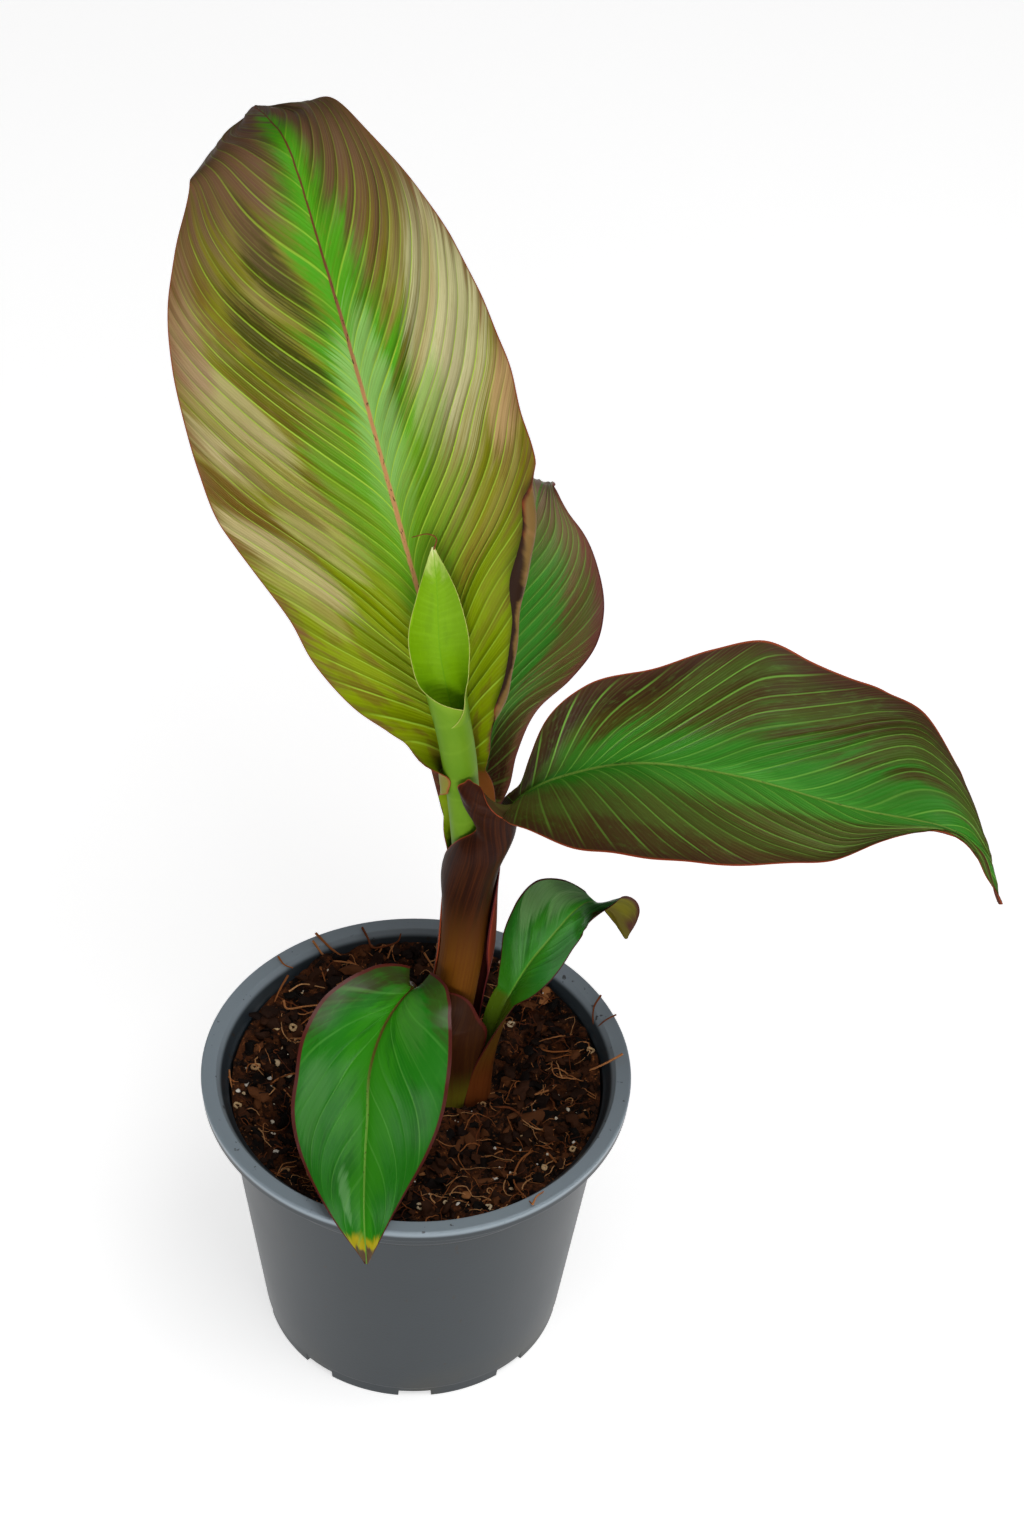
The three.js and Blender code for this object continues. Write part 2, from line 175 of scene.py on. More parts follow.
class Shader:
    """Node tree of one material. Most calls add a node and return its output socket."""

    def __init__(self, name, colour):
        self.material = bpy.data.materials.new(name)
        self.material.use_nodes = True
        self.tree = self.material.node_tree
        self.surface = self.tree.nodes["Principled BSDF"]
        self.colour = colour

    def put(self, socket, value):
        """Links an output to a socket, or sets the socket to a value or a display colour."""
        if isinstance(value, bpy.types.NodeSocket):
            self.tree.links.new(value, socket)
        else:
            socket.default_value = linear(value) if socket.type == "RGBA" else value

    def node(self, kind, inputs, output=0, **settings):
        made = self.tree.nodes.new("ShaderNode" + kind)
        for key, value in settings.items():
            setattr(made, key, value)
        for key, value in inputs.items():
            self.put(made.inputs[key], value)
        return made.outputs[output]

    def math(self, operation, *values):
        return self.node("Math", dict(enumerate(values)), operation=operation)

    def times(self, product, *values):
        for value in values:
            product = self.math("MULTIPLY", product, value)
        return product

    def mul_add(self, value, factor, base):
        return self.math("MULTIPLY_ADD", value, factor, base)

    def mix(self, factor, first, second):
        return self.node("Mix", {0: factor, 6: first, 7: second}, output=2, data_type="RGBA")

    def coat(self, cover, colour, share=1):
        """Lays a share of a colour over the surface where cover is 1."""
        if share != 1:
            cover = self.times(cover, share)
        self.colour = self.mix(cover, self.colour, colour)

    def fade(self, value, low, high):
        """0 at low and 1 at high, smooth between them."""
        return self.node("MapRange", {0: value, 1: low, 2: high}, interpolation_type="SMOOTHSTEP")

    def window(self, value, low, high, soft=0.1):
        """1 between two places and 0 a little outside them."""
        rise = self.fade(value, low - soft, low + soft)
        return self.times(rise, self.fade(value, high + soft, high - soft))

    def scaled(self, value, low, high):
        """A value of 0 to 1 spread from low to high."""
        return self.node("MapRange", {0: value, 3: low, 4: high})

    def vector(self, x, y, z=0.0):
        return self.node("CombineXYZ", {0: x, 1: y, 2: z})

    def noise(self, vector, scale, detail=3.0, roughness=0.5):
        inputs = {"Vector": vector, "Scale": scale, "Detail": detail, "Roughness": roughness}
        return self.node("TexNoise", inputs)

    def place(self):
        return self.node("TexCoord", {}, output="Object")

    def stretched(self, vector, scale):
        return self.node("Mapping", {"Vector": vector, "Scale": scale})

    def split(self, vector):
        """The three outputs for the parts of a vector."""
        return self.node("SeparateXYZ", {0: vector}).node.outputs

    def uv(self, layer):
        first, second, _ = self.split(self.node("UVMap", {}, uv_map=layer))
        return first, second

    def bump(self, height, distance, strength):
        inputs = {"Height": height, "Distance": distance, "Strength": strength}
        self.put(self.surface.inputs["Normal"], self.node("Bump", inputs))

    def finish(self, rough, gloss):
        """Gives the surface its colour, roughness and gloss."""
        inputs = {"Base Color": self.colour, "Roughness": rough, "Specular IOR Level": gloss}
        for key, value in inputs.items():
            self.put(self.surface.inputs[key], value)
        return self.material


def mesh_object(name, points, faces, materials, face_material=None, layers=None, sharp=50):
    """A smooth mesh object in metres from points in millimetres, with UV layers given at its points."""
    mesh = bpy.data.meshes.new(name)
    mesh.from_pydata((np.asarray(points) * MM).tolist(), [], [list(f) for f in faces])
    for material in materials:
        mesh.materials.append(material)
    if face_material is not None:
        mesh.polygons.foreach_set("material_index", np.asarray(face_material, np.int32))
    corner = np.zeros(len(mesh.loops), np.int32)
    mesh.loops.foreach_get("vertex_index", corner)
    for layer, values in (layers or {}).items():
        uv = mesh.uv_layers.new(name=layer)
        uv.data.foreach_set("uv", np.asarray(values, np.float32)[corner].ravel())
    mesh.shade_smooth()
    mesh.set_sharp_from_angle(angle=math.radians(sharp))
    made = bpy.data.objects.new(name, mesh)
    bpy.context.scene.collection.objects.link(made)
    return made


def ring_faces(rings, around, inside_out=False):
    """Faces that join rings of points to each other, with a cap on the first and on the last."""
    index = np.arange(rings * around).reshape(rings, around)
    ahead = np.roll(index, -1, axis=1)
    sides = np.stack([index[:-1], ahead[:-1], ahead[1:], index[1:]], -1).reshape(-1, 4)
    caps = [index[0, ::-1].tolist(), index[-1].tolist()]
    if inside_out:
        sides = sides[:, [0, 3, 2, 1]]
        caps = [cap[::-1] for cap in caps]
    return sides.tolist() + caps


def keep(piece, slot, *nodes):
    """The piece rides with the plant and stands for nodes of the frame, which it hides; the slot is not
    used.
    """
    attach(piece, "root")
    if nodes:
        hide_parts(*nodes)
    return piece


# Curves and leaf surfaces


def smooth(values, t, at=None):
    """Smooth curve through values at the places in at, or at even steps, read at t from 0 to 1."""
    values = np.asarray(values, float)
    at = np.linspace(0, 1, len(values)) if at is None else np.asarray(at, float)
    slopes = np.gradient(values, at, axis=0)
    t = np.clip(t, 0, 1)
    i = np.clip(np.searchsorted(at, t, side="right") - 1, 0, len(at) - 2)
    step = at[i + 1] - at[i]
    f = (t - at[i]) / step
    if values.ndim > 1:
        step = step[..., None]
        f = f[..., None]
    rise = values[i + 1] - values[i]
    first = slopes[i] * step
    last = slopes[i + 1] * step
    return values[i] + f * (first + f * (3 * rise - 2 * first - last + f * (first + last - 2 * rise)))


def unit(vectors):
    """Vectors of length 1."""
    return vectors / np.maximum(np.linalg.norm(vectors, axis=-1, keepdims=True), 1e-9)


def spine_lines(stalk, blade, samples=500):
    """Points along the stalk and along the blade of one smooth spine through both."""
    points = np.array(stalk + blade, float)
    joint = len(stalk) / (len(points) - 1)
    t = np.linspace(0, 1, samples)
    return smooth(points, t * joint), smooth(points, joint + t * (1 - joint))


def spine_frame(line, square, t):
    """Places on a line of points and its direction there, turned by the share square to its chord."""
    length = np.concatenate([[0], np.cumsum(np.linalg.norm(np.diff(line, axis=0), axis=1))])
    length /= length[-1]
    slope = unit(np.gradient(line, axis=0)) * (1 - square) + square * unit(line[-1] - line[0])
    place, along = (
        np.stack([np.interp(t, length, values[:, k]) for k in range(3)], axis=-1)
        for values in (line, slope)
    )
    return place, unit(along)


def listed(values, t, at):
    """A list read at t: at the places in at where it has as many values, or else at even steps."""
    return smooth(values, t, at if at and len(at) == len(values) else None)


def section_points(part, place, along, t, s):
    """Points of a sheath or blade at t along it and s across it, and their distance from the midrib."""
    across = unit(np.cross(along, smooth(part.face, t)))
    up = np.cross(across, along)
    away = np.abs(s)
    halves = []
    for half in (part.left, part.right):
        reach = listed(half.reach, t, part.at)
        fold = np.radians(listed(half.fold, t, part.at))
        curl = np.radians(listed(half.curl, t, part.at))
        curl = np.where(np.abs(curl) < STRAIGHT_TURN, STRAIGHT_TURN, curl)
        out = reach * (np.sin(fold + curl * away) - np.sin(fold)) / curl
        rise = reach * (np.cos(fold) - np.cos(fold + curl * away)) / curl
        back = half.lobe * away**3 * np.maximum(0, 1 - t / LOBE_SHARE) ** 2
        halves.append((reach, out, rise, back))
    reach, out, rise, back = (np.where(s < 0, left, right) for left, right in zip(*halves))
    side = np.where(s < 0, -1.0, 1.0)
    points = place + across * (side * out)[..., None] + up * rise[..., None] - along * back[..., None]
    return points, side * reach * away


def grid_normals(points):
    """Unit normals of the upper side of a grid whose rows run along the leaf."""
    return unit(np.cross(np.gradient(points, axis=1), np.gradient(points, axis=0)))


def vein_lean(u, away, sweep):
    """How far a vein that leaves the midrib at u has run to the tip, at a share of the half's reach."""
    run, full_from = sweep
    first, even, last = VEIN_COURSE
    course = first * (1 - np.exp(-away / DECURRENT_SHARE)) + even * away + last * away**3
    return run * course * np.minimum(1, u / full_from) * np.tanh((1 - u) / run)


def vein_rows(rows, sweep, samples=2000):
    """Even places of the rows half way across a blade, and where the rows leave the midrib."""
    start = np.linspace(0, 1, samples)
    even = np.linspace(0, 1, rows)
    return even, np.interp(even, start + vein_lean(start, 0.5, sweep), start)


def leaf_grid(leaf):
    """Middle surface of a leaf: points, rank of their vein, place along, place across, distance."""
    s = np.linspace(-1, 1, 2 * leaf.columns + 1)
    s = np.sign(s) * np.abs(s) ** MIDRIB_CROWDING
    if leaf.roll:
        strip = np.linspace(1 - leaf.roll.share, 1, ROLL_COLUMNS)
        s = np.concatenate([-strip[::-1], s[np.abs(s) < strip[0]], strip])
    stalk_line, blade_line = spine_lines(leaf.stalk.spine, leaf.blade.spine)

    even, start = vein_rows(leaf.rows, leaf.sweep)
    u, across = np.meshgrid(start, s, indexing="ij")
    t = u + vein_lean(u, np.abs(across), leaf.sweep)
    place, along = spine_frame(blade_line, leaf.blade.square, t)
    blade = section_points(leaf.blade, place, along, t, across)

    v = -((1 - np.linspace(0, 1, leaf.stalk_rows, endpoint=False)) ** MOUTH_CROWDING)
    v, across_stalk = np.meshgrid(v, s, indexing="ij")
    place, along_stalk = spine_frame(stalk_line, 0, 1 + v)
    turn = np.clip(1 + v / STALK_TURN_SHARE, 0, 1)[..., None]
    along_stalk = unit(along_stalk * (1 - turn) + along[0, len(s) // 2] * turn)
    stalk = section_points(leaf.stalk, place, along_stalk, 1 + v, across_stalk)
    rank = np.repeat(even[:, None], len(s), axis=1)
    pairs = [(stalk[0], blade[0]), (v, rank), (v, t), (across_stalk, across), (stalk[1], blade[1])]
    return [np.concatenate(pair) for pair in pairs]


def roll_margin(points, t, s, roll):
    """Stretches a strip along one margin and rolls it up and inwards between two places on the blade."""
    columns = np.where(s[0] * roll.side > 1 - roll.share)[0]
    inner = columns.min() - 1 if roll.side > 0 else columns.max() + 1
    hinge = points[:, inner]
    normal = grid_normals(points)[:, inner]
    along = unit(np.gradient(hinge, axis=0))
    low, high = roll.between
    since, left = t[:, inner] - low, high - t[:, inner]
    window = np.clip(since / roll.ease, 0, 1) * np.clip(left / roll.ease, 0, 1)
    rolled = points.copy()
    for column in columns:
        reach = points[:, column] - hinge
        slide = np.sum(reach * along, axis=1)[:, None] * along
        outward = reach - slide
        wide = np.linalg.norm(outward, axis=1) * (1 + roll.stretch * window**2)
        share = (abs(s[0, column]) - 1 + roll.share) / roll.share
        turn = np.maximum(np.radians(roll.turn) * window * share, STRAIGHT_TURN)
        bent = np.sin(turn)[:, None] * unit(outward) + (1 - np.cos(turn))[:, None] * normal
        rolled[:, column] = hinge + slide + (wide / turn)[:, None] * bent
    return rolled


def vein_phase(u, s, veins):
    """Count of side veins along the blade, a little uneven, with the two sides out of step."""
    uneven = 0.006 * np.sin(19 * u + 1) + 0.004 * np.sin(43 * u)
    return veins * (u + uneven) + np.where(s < 0, 0.0, 0.45)


def leaf_relief(leaf, u, t, s, phase):
    """Height of the pleats between the veins, of wider swells and of the waves of the margin."""
    away = np.abs(s)
    side = np.sign(s)
    strength = np.random.default_rng(leaf.seed).uniform(*PLEAT_STRENGTH, MOST_VEINS)
    crest = (2 * (phase % 1) - 1) ** 4 * strength[np.round(phase).astype(int) % MOST_VEINS]
    on_blade = np.clip(u / FOOT_EASE, 0, 1) * np.clip((1 - u) / TIP_EASE, 0, 1)
    relief = leaf.pleat * crest * np.sin(np.pi * away**0.7) * on_blade
    short, long = SWELL_VEINS
    swell = np.sin(2 * np.pi * phase / short + side) + np.sin(2 * np.pi * phase / long)
    relief += leaf.swell * swell * np.sin(np.pi * away) * on_blade
    for share, shift in MARGIN_WAVES:
        count = share * leaf.waves
        beat = np.sin(2 * np.pi * count * t + side * 0.9 + shift)
        relief += leaf.wave * beat * away**2.5 * on_blade * leaf.waves / count
    return relief


def skin_faces(rows, columns):
    """Faces of an upper grid, and those of a lower grid and of the edge between the two."""
    index = np.arange(rows * columns).reshape(rows, columns)
    top = np.stack([index[:-1, :-1], index[:-1, 1:], index[1:, 1:], index[1:, :-1]], -1).reshape(-1, 4)
    bottom = top[:, [0, 3, 2, 1]] + index.size
    ring = np.concatenate([index[0], index[1:, -1], index[-1, -2::-1], index[-2:0:-1, 0]])
    ahead = np.roll(ring, -1)
    edge = np.stack([ring, ring + index.size, ahead + index.size, ahead], -1)
    return top, np.concatenate([bottom, edge])


def leaf_piece(name, leaf, materials):
    """A whole leaf from sheath to tip as one closed mesh with pleats, midrib and keel."""
    points, u, t, s, out = leaf_grid(leaf)
    if leaf.roll:
        points = roll_margin(points, t, s, leaf.roll)
    phase = vein_phase(u, s, leaf.veins)
    points = points + grid_normals(points) * leaf_relief(leaf, u, t, s, phase)[..., None]
    normals = grid_normals(points)
    along = (t + 1) / 2
    half = smooth(leaf.thickness, along) * (1 - MARGIN_THINNING * np.abs(s) ** 2) / 2
    keel = smooth(leaf.keel, along) * np.exp(-((out / smooth(leaf.keel_width, along)) ** 2))
    rib = leaf.rib * np.exp(-((out / leaf.rib_width) ** 2)) * np.clip((1 - t) / RIB_TIP_EASE, 0, 1)
    upper = points + normals * (half + rib * np.clip(1 + t / RIB_FOOT_EASE, 0, 1))[..., None]
    lower = points - normals * (half + keel)[..., None]
    both = np.concatenate([upper.reshape(-1, 3), lower.reshape(-1, 3)])
    top, rest = skin_faces(*u.shape)
    face_material = np.concatenate([np.zeros(len(top)), np.ones(len(rest))])
    layers = {}
    for layer, first, second in (("leaf", t, s), ("vein", phase, out)):
        layers[layer] = np.tile(np.stack([first.ravel(), second.ravel()], -1), (2, 1))
    return mesh_object(name, both, np.concatenate([top, rest]), materials, face_material, layers)


# Materials


def leaf_upper(name, look):
    """Upper side of a blade: green along the midrib, clouds along the veins, painted pale sheen and
    painted highlights, painted shade beside each vein, a red border.
    """
    sh = Shader(name, look.field)
    t, s = sh.uv("leaf")
    phase, out = sh.uv("vein")
    away = sh.math("ABSOLUTE", s)

    def along_veins(pace, spread, shift, detail=4.0):
        """Noise in streaks along the veins, about 0."""
        at = sh.vector(sh.times(phase, pace), sh.times(s, spread), look.seed + shift)
        return sh.math("SUBTRACT", sh.noise(at, 1.0, detail, 0.6), 0.5)

    def off(value, middle, half):
        """Square of the distance from a middle, counted in halves."""
        return sh.math("POWER", sh.math("DIVIDE", sh.math("SUBTRACT", value, middle), half), 2.0)

    cloud = along_veins(look.cloud_pace, 1.3, 0.0)
    patch = along_veins(1.5 * look.cloud_pace, 1.6, 7.0)
    spread = along_veins(0.8 * look.cloud_pace, 2.0, 11.0)
    feather = along_veins(2.2, 1.1, 3.0)
    fibre = along_veins(9.0, 1.4, 5.0, 2.0)
    fleck = along_veins(5.0, 16.0, 9.0)
    near = sh.math("PINGPONG", phase, 0.5)
    number = sh.times(sh.math("ROUND", phase), 0.73)
    strength = sh.noise(sh.vector(number, sh.math("SIGN", s), look.seed), 3.0, 0.0)
    thread = sh.math("PINGPONG", sh.times(phase, 5.0), 0.5)

    # The green heart has its own reach on each half.
    left_reach, right_reach = look.heart_to
    limit = sh.node("MapRange", {0: s, 1: -0.01, 2: 0.01, 3: left_reach, 4: right_reach})
    ragged = sh.mul_add(feather, 0.8, sh.mul_add(cloud, 0.5, away))
    sh.coat(sh.fade(sh.math("SUBTRACT", ragged, limit), 0.14, -0.14), look.heart)
    dark = sh.fade(sh.mul_add(feather, 0.5, patch), *look.blotch_from)
    sh.coat(sh.times(dark, sh.window(away, *look.blotch_span)), look.blotch, look.blotch_share)
    foot = sh.fade(sh.mul_add(cloud, 0.4, t), look.foot_to, look.foot_to - 0.3)
    sh.coat(sh.times(foot, sh.fade(away, 0.02, 0.2)), look.foot)
    # Painted sheen: pale patches that stand for light on the blade.
    pale = sh.fade(sh.mul_add(feather, 0.4, cloud), *look.silver_from)
    pale = sh.times(pale, sh.window(t, *look.silver_span), sh.fade(away, 0.1, 0.5))
    sh.coat(pale, look.silver, look.silver_share)
    stain = sh.fade(sh.mul_add(feather, 0.4, spread), *look.stain_from)
    sh.coat(sh.times(stain, sh.window(away, *look.stain_span)), look.stain, look.stain_share)

    # Single patches, slanted along the veins and uneven at their edges: the darker ones are the leaf's own
    # colour, the pale ones are painted sheen and painted highlights.
    across_veins = sh.mul_add(away, -look.slant, t)
    for shade, share, along, across in look.patches:
        far = sh.mul_add(feather, 1.6, sh.mul_add(cloud, 2.0, off(across_veins, *along)))
        far = sh.mul_add(fibre, 1.6, far)
        sh.coat(sh.fade(sh.math("ADD", far, off(s, *across)), 1.3, 0.3), shade, share)
    sh.coat(sh.fade(fleck, 0.02, 0.2), look.fleck, 0.25)

    tip = sh.mul_add(feather, look.tip_ragged, t)
    sh.coat(sh.times(sh.fade(tip, *look.band_from), sh.fade(away, *look.band_gap)), look.band)
    sh.coat(sh.fade(tip, *look.tip_from), look.tip)
    border = sh.mul_add(feather, 0.4, sh.mul_add(cloud, 0.3, away))
    sh.coat(sh.fade(border, *look.rim_from), look.rim)

    # Fibres, painted shade on one side of each vein, the veins and the threads between them.
    sh.coat(sh.fade(fibre, 0.0, 0.25), look.fibre, look.fibre_share)
    shaded = sh.times(sh.fade(sh.math("FRACT", phase), 0.5, 0.02), sh.fade(away, 0.05, 0.25))
    sh.coat(shaded, look.blotch, look.shade_share)
    line = sh.fade(near, look.vein_width, 0.3 * look.vein_width)
    line = sh.times(line, sh.fade(away, 1.0, 0.8), sh.scaled(sh.fade(strength, 0.25, 0.75), 0.35, 1.0))
    sh.coat(sh.times(line, sh.fade(t, 1.05, look.vein_fade)), look.vein, look.vein_share)
    fine = sh.times(sh.fade(thread, 0.2, 0.02), sh.fade(feather, -0.1, 0.15))
    sh.coat(fine, look.vein, look.thread_share)

    # The midrib, the edge, and the channel of the stalk with its wing.
    width = sh.mul_add(t, -0.75 * look.rib_wide, look.rib_wide)
    rib = sh.fade(sh.math("DIVIDE", sh.math("ABSOLUTE", out), width), 1.0, 0.6)
    speck = sh.fade(sh.noise(sh.vector(sh.times(t, 90.0), out), 1.0, 2.0), 0.58, 0.68)
    rib_colour = sh.mix(sh.fade(t, *look.rib_turn), look.rib, look.rib_top)
    sh.coat(rib, sh.mix(speck, rib_colour, look.rib_speck))
    sh.coat(sh.fade(away, look.edge_from, look.edge_from + EDGE_SOFT), look.edge)
    sh.coat(sh.fade(t, 0.0, -0.06), look.channel)
    if look.wing:
        sh.coat(sh.times(sh.fade(t, 0.02, -0.03), sh.fade(s, 0.3, 0.5)), look.wing)

    sh.bump(sh.mul_add(fibre, 0.8, sh.fade(thread, 0.4, 0.05)), 0.0002, look.ridge)
    return sh.finish(sh.scaled(sh.fade(cloud, -0.15, 0.15), *look.rough), look.gloss)


def leaf_lower(name, look):
    """Underside of a blade and outside of its stalk and sheath."""
    sh = Shader(name, look.under)
    t, s = sh.uv("leaf")
    phase, out = sh.uv("vein")
    away = sh.math("ABSOLUTE", s)
    near = sh.math("PINGPONG", phase, 0.5)
    streak = sh.noise(sh.vector(sh.times(phase, 0.5), sh.times(s, 2.0), look.seed), 1.0, 5.0, 0.6)
    grain = sh.noise(sh.vector(sh.times(t, 3.0), sh.times(out, 0.9), look.seed), 1.0, 5.0, 0.6)

    sh.coat(sh.fade(streak, 0.35, 0.7), look.under_patch)
    sh.coat(sh.fade(away, 0.75, 0.97), look.under_rim)
    sh.coat(sh.fade(t, *look.tip_from), look.tip)
    sh.coat(sh.fade(near, 0.12, 0.0), look.under_vein, 0.35)
    sh.coat(sh.fade(sh.math("ABSOLUTE", out), 3.5, 1.2), look.under_rib)
    blade = sh.colour

    sh.colour = look.stalk_low
    sh.coat(sh.fade(t, *look.stalk_turn), look.stalk_top)
    sh.coat(sh.fade(grain, 0.4, 0.75), look.stalk_streak, 0.6)
    sh.coat(sh.fade(away, 0.93, 0.99), look.stalk_edge)
    sh.coat(sh.fade(t, *look.blade_from), blade)
    sh.coat(sh.fade(away, look.edge_from, look.edge_from + EDGE_SOFT), look.edge)
    burnt = sh.fade(sh.mul_add(streak, 0.1, s), *look.scorch_from)
    sh.coat(sh.times(burnt, sh.fade(t, 0.03, 0.08), sh.fade(t, 0.44, 0.4)), look.scorch)
    ridge = sh.times(sh.fade(near, 0.3, 0.0), sh.fade(t, 0.0, 0.08))
    sh.bump(sh.math("ADD", grain, ridge), 0.0003, 0.3)
    return sh.finish(sh.scaled(grain, 0.4, 0.6), look.under_gloss)


def pot_finish():
    """Moulded slate grey plastic, with faint flow marks, scuffs, dust and specks of soil, painted shade in
    a groove and painted highlights on a line and on the rim.
    """
    sh = Shader("pot_plastic", (32, 41, 47))
    at = sh.place()
    height = sh.split(at)[2]
    cloud = sh.noise(at, 14.0, 5.0, 0.6)
    grain = sh.noise(at, 900.0, 3.0, 0.6)
    scuff = sh.noise(sh.stretched(at, (60.0, 60.0, 420.0)), 1.0, 6.0, 0.75)
    dirt = sh.noise(at, 260.0, 4.0, 0.55)
    sh.coat(sh.fade(cloud, 0.3, 0.7), (38, 47, 53))
    # By their heights in metres: painted shade in the groove under the collar, a painted highlight on the
    # line above it, and the rim and the top of its lip lighter as painted light.
    sh.coat(sh.window(height, 0.1229, 0.1243, 0.0003), (20, 24, 28))
    sh.coat(sh.window(height, 0.1278, 0.1286, 0.0002), (72, 79, 84))
    sh.coat(sh.fade(height, 0.141, 0.1432), (142, 155, 164))
    sh.coat(sh.fade(scuff, 0.66, 0.78), (64, 68, 70), 0.4)
    sh.coat(sh.fade(dirt, 0.66, 0.72), (44, 36, 30), 0.8)
    sh.coat(sh.times(sh.fade(height, 0.03, 0.0), sh.fade(cloud, 0.45, 0.65)), (52, 53, 48))
    sh.bump(sh.mul_add(scuff, 0.4, grain), 0.0001, 0.4)
    return sh.finish(sh.scaled(cloud, 0.32, 0.46), 0.4)


def soil_finish():
    """Moist peat: near black in the hollows as painted shade, red-brown on the crumbs, lighter on their
    tops partly as painted highlight.
    """
    sh = Shader("soil_peat", (18, 10, 6))
    at = sh.place()
    cloud = sh.noise(at, 95.0, 8.0, 0.7)
    crumb = sh.noise(at, 520.0, 5.0, 0.7)
    sh.coat(sh.fade(cloud, 0.42, 0.62), (92, 50, 25))
    # Raised crumbs lighter, partly the peat's colour and partly painted highlight; the hollows near black
    # as painted shade.
    sh.coat(sh.fade(crumb, 0.56, 0.72), (172, 106, 56))
    sh.coat(sh.fade(crumb, 0.44, 0.3), (10, 6, 4))
    sh.bump(crumb, 0.0014, 0.9)
    return sh.finish(sh.scaled(cloud, 0.7, 0.95), 0.15)


def grain(name, colour):
    """A plain colour for small joined grains and fibres, with an uneven surface."""
    sh = Shader(name, colour)
    cloud = sh.noise(sh.place(), 900.0, 4.0, 0.6)
    sh.bump(cloud, 0.0005, 0.7)
    return sh.finish(sh.scaled(cloud, 0.6, 0.95), 0.15)


def stem_finish():
    """Brown-green sheath skin with streaks along the stem."""
    sh = Shader("stem_skin", (92, 70, 34))
    streak = sh.noise(sh.stretched(sh.place(), (400.0, 400.0, 18.0)), 1.0, 5.0, 0.6)
    sh.coat(sh.fade(streak, 0.35, 0.7), (74, 44, 26))
    sh.bump(streak, 0.0004, 0.4)
    return sh.finish(sh.scaled(streak, 0.4, 0.6), 0.4)


def floor_finish():
    """Pale paper, lit through from behind."""
    sh = Shader("studio_paper", (250, 250, 250))
    sh.coat(sh.noise(sh.place(), 3.0, 2.0, 0.5), (253, 253, 253))
    sh.put(sh.surface.inputs["Emission Color"], WHITE)
    sh.put(sh.surface.inputs["Emission Strength"], FLOOR_GLOW)
    return sh.finish(0.9, 0.5)


# Leaves: shapes

# One half of a sheath or blade: reach in millimetres, fold and curl in degrees, a lobe at its foot.
Half = namedtuple("Half", "reach fold curl lobe", defaults=[0])
# A sheath with its petiole, or a blade. The blade starts where the spine of the stalk ends. The lists of
# the halves are even along it, or lie at the places in at. Sections turn square to its chord by a share.
Part = namedtuple("Part", "spine face left right at square", defaults=[None, 0])
Leaf = namedtuple(
    "Leaf",
    "stalk blade columns rows stalk_rows sweep veins seed pleat swell wave waves "
    "thickness keel keel_width rib rib_width roll",
    defaults=[None],
)

TALL_LEAF = Leaf(
    stalk=Part(
        spine=[[19.3, 22, 236], [19.5, 22.6, 262], [19, 23.2, 282]],
        face=[[0, -1, 0], [0, -1, 0.1], [0, -0.9, 0.3]], at=[0, 0.3, 0.45, 0.63, 0.78, 0.9, 1],
        left=Half(
            reach=[16, 15, 13.5, 10.5, 13, 15.5, 25.8], fold=[0, 0], curl=[95, 95, 90, 14, 20, 70, 134],
        ),
        right=Half(
            reach=[15, 14, 13, 13, 12, 10.5, 9], fold=[0, 0, 0, 10, 20, 25, 34],
            curl=[90, 85, 60, 30, 0, -10, -6],
        ),
    ),
    blade=Part(
        spine=[
            [18, 25, 303], [6, 34, 348], [-10, 50, 402], [-27, 68, 458], [-44, 88, 508],
            [-59, 110, 544], [-68, 129, 546], [-77, 150, 540],
        ],
        face=[[0, -0.9, 0.3], [0, -0.9, 0.35], [0, -0.9, 0.4], [0, -0.8, 0.6], [0, -0.2, 1]],
        at=[
            0, 0.03, 0.06, 0.1, 0.143, 0.22, 0.286, 0.36, 0.4, 0.43, 0.5, 0.57, 0.64, 0.714, 0.78,
            0.857, 0.9, 0.95, 1,
        ],
        left=Half(
            reach=[
                25.8, 29, 23.3, 30.5, 39.4, 50, 54.5, 62.5, 67, 70, 72, 71.8, 70, 64.8, 56, 43.2, 38,
                20, 0.6,
            ],
            fold=[
                0, 1.6, 3.3, 5.7, 8, 11.4, 12, 10.4, 9, 8, 6, 5.2, 4.8, 6.4, 11.6, 18.4, 19.7, 18.8, 18,
            ],
            curl=[134, 143, 54, 40, 27, 10, 7, 5, 4.7, 4.5, 4, 2, -1, -8, -23.5, -44, -50.5, -53, -56],
        ),
        right=Half(
            reach=[
                9, 13.5, 17, 25.3, 35.2, 49.6, 57.7, 69, 71.8, 72.8, 69, 67.6, 63, 54.8, 45.6, 30.2,
                21.3, 9, 0.6,
            ],
            fold=[34, 40, 32, 26, 20], curl=[-6, -6, -6, -6, -10],
        ),
    ),
    columns=38, rows=330, stalk_rows=80, sweep=(0.38, 0.1), veins=36, seed=3, pleat=1.2, swell=0.9,
    wave=0.9, waves=5, thickness=[1.2, 1.2, 1.2, 0.8, 0.7, 0.6, 0.5],
    keel=[1, 1.5, 2.5, 3, 2.2, 1.2, 0.3], keel_width=[6, 5, 4, 3, 2.4, 1.8, 1.2], rib=0.7,
    rib_width=1.3,
    roll=SimpleNamespace(side=1, share=0.055, stretch=2.3, between=(0.06, 0.415), ease=0.035, turn=190),
)
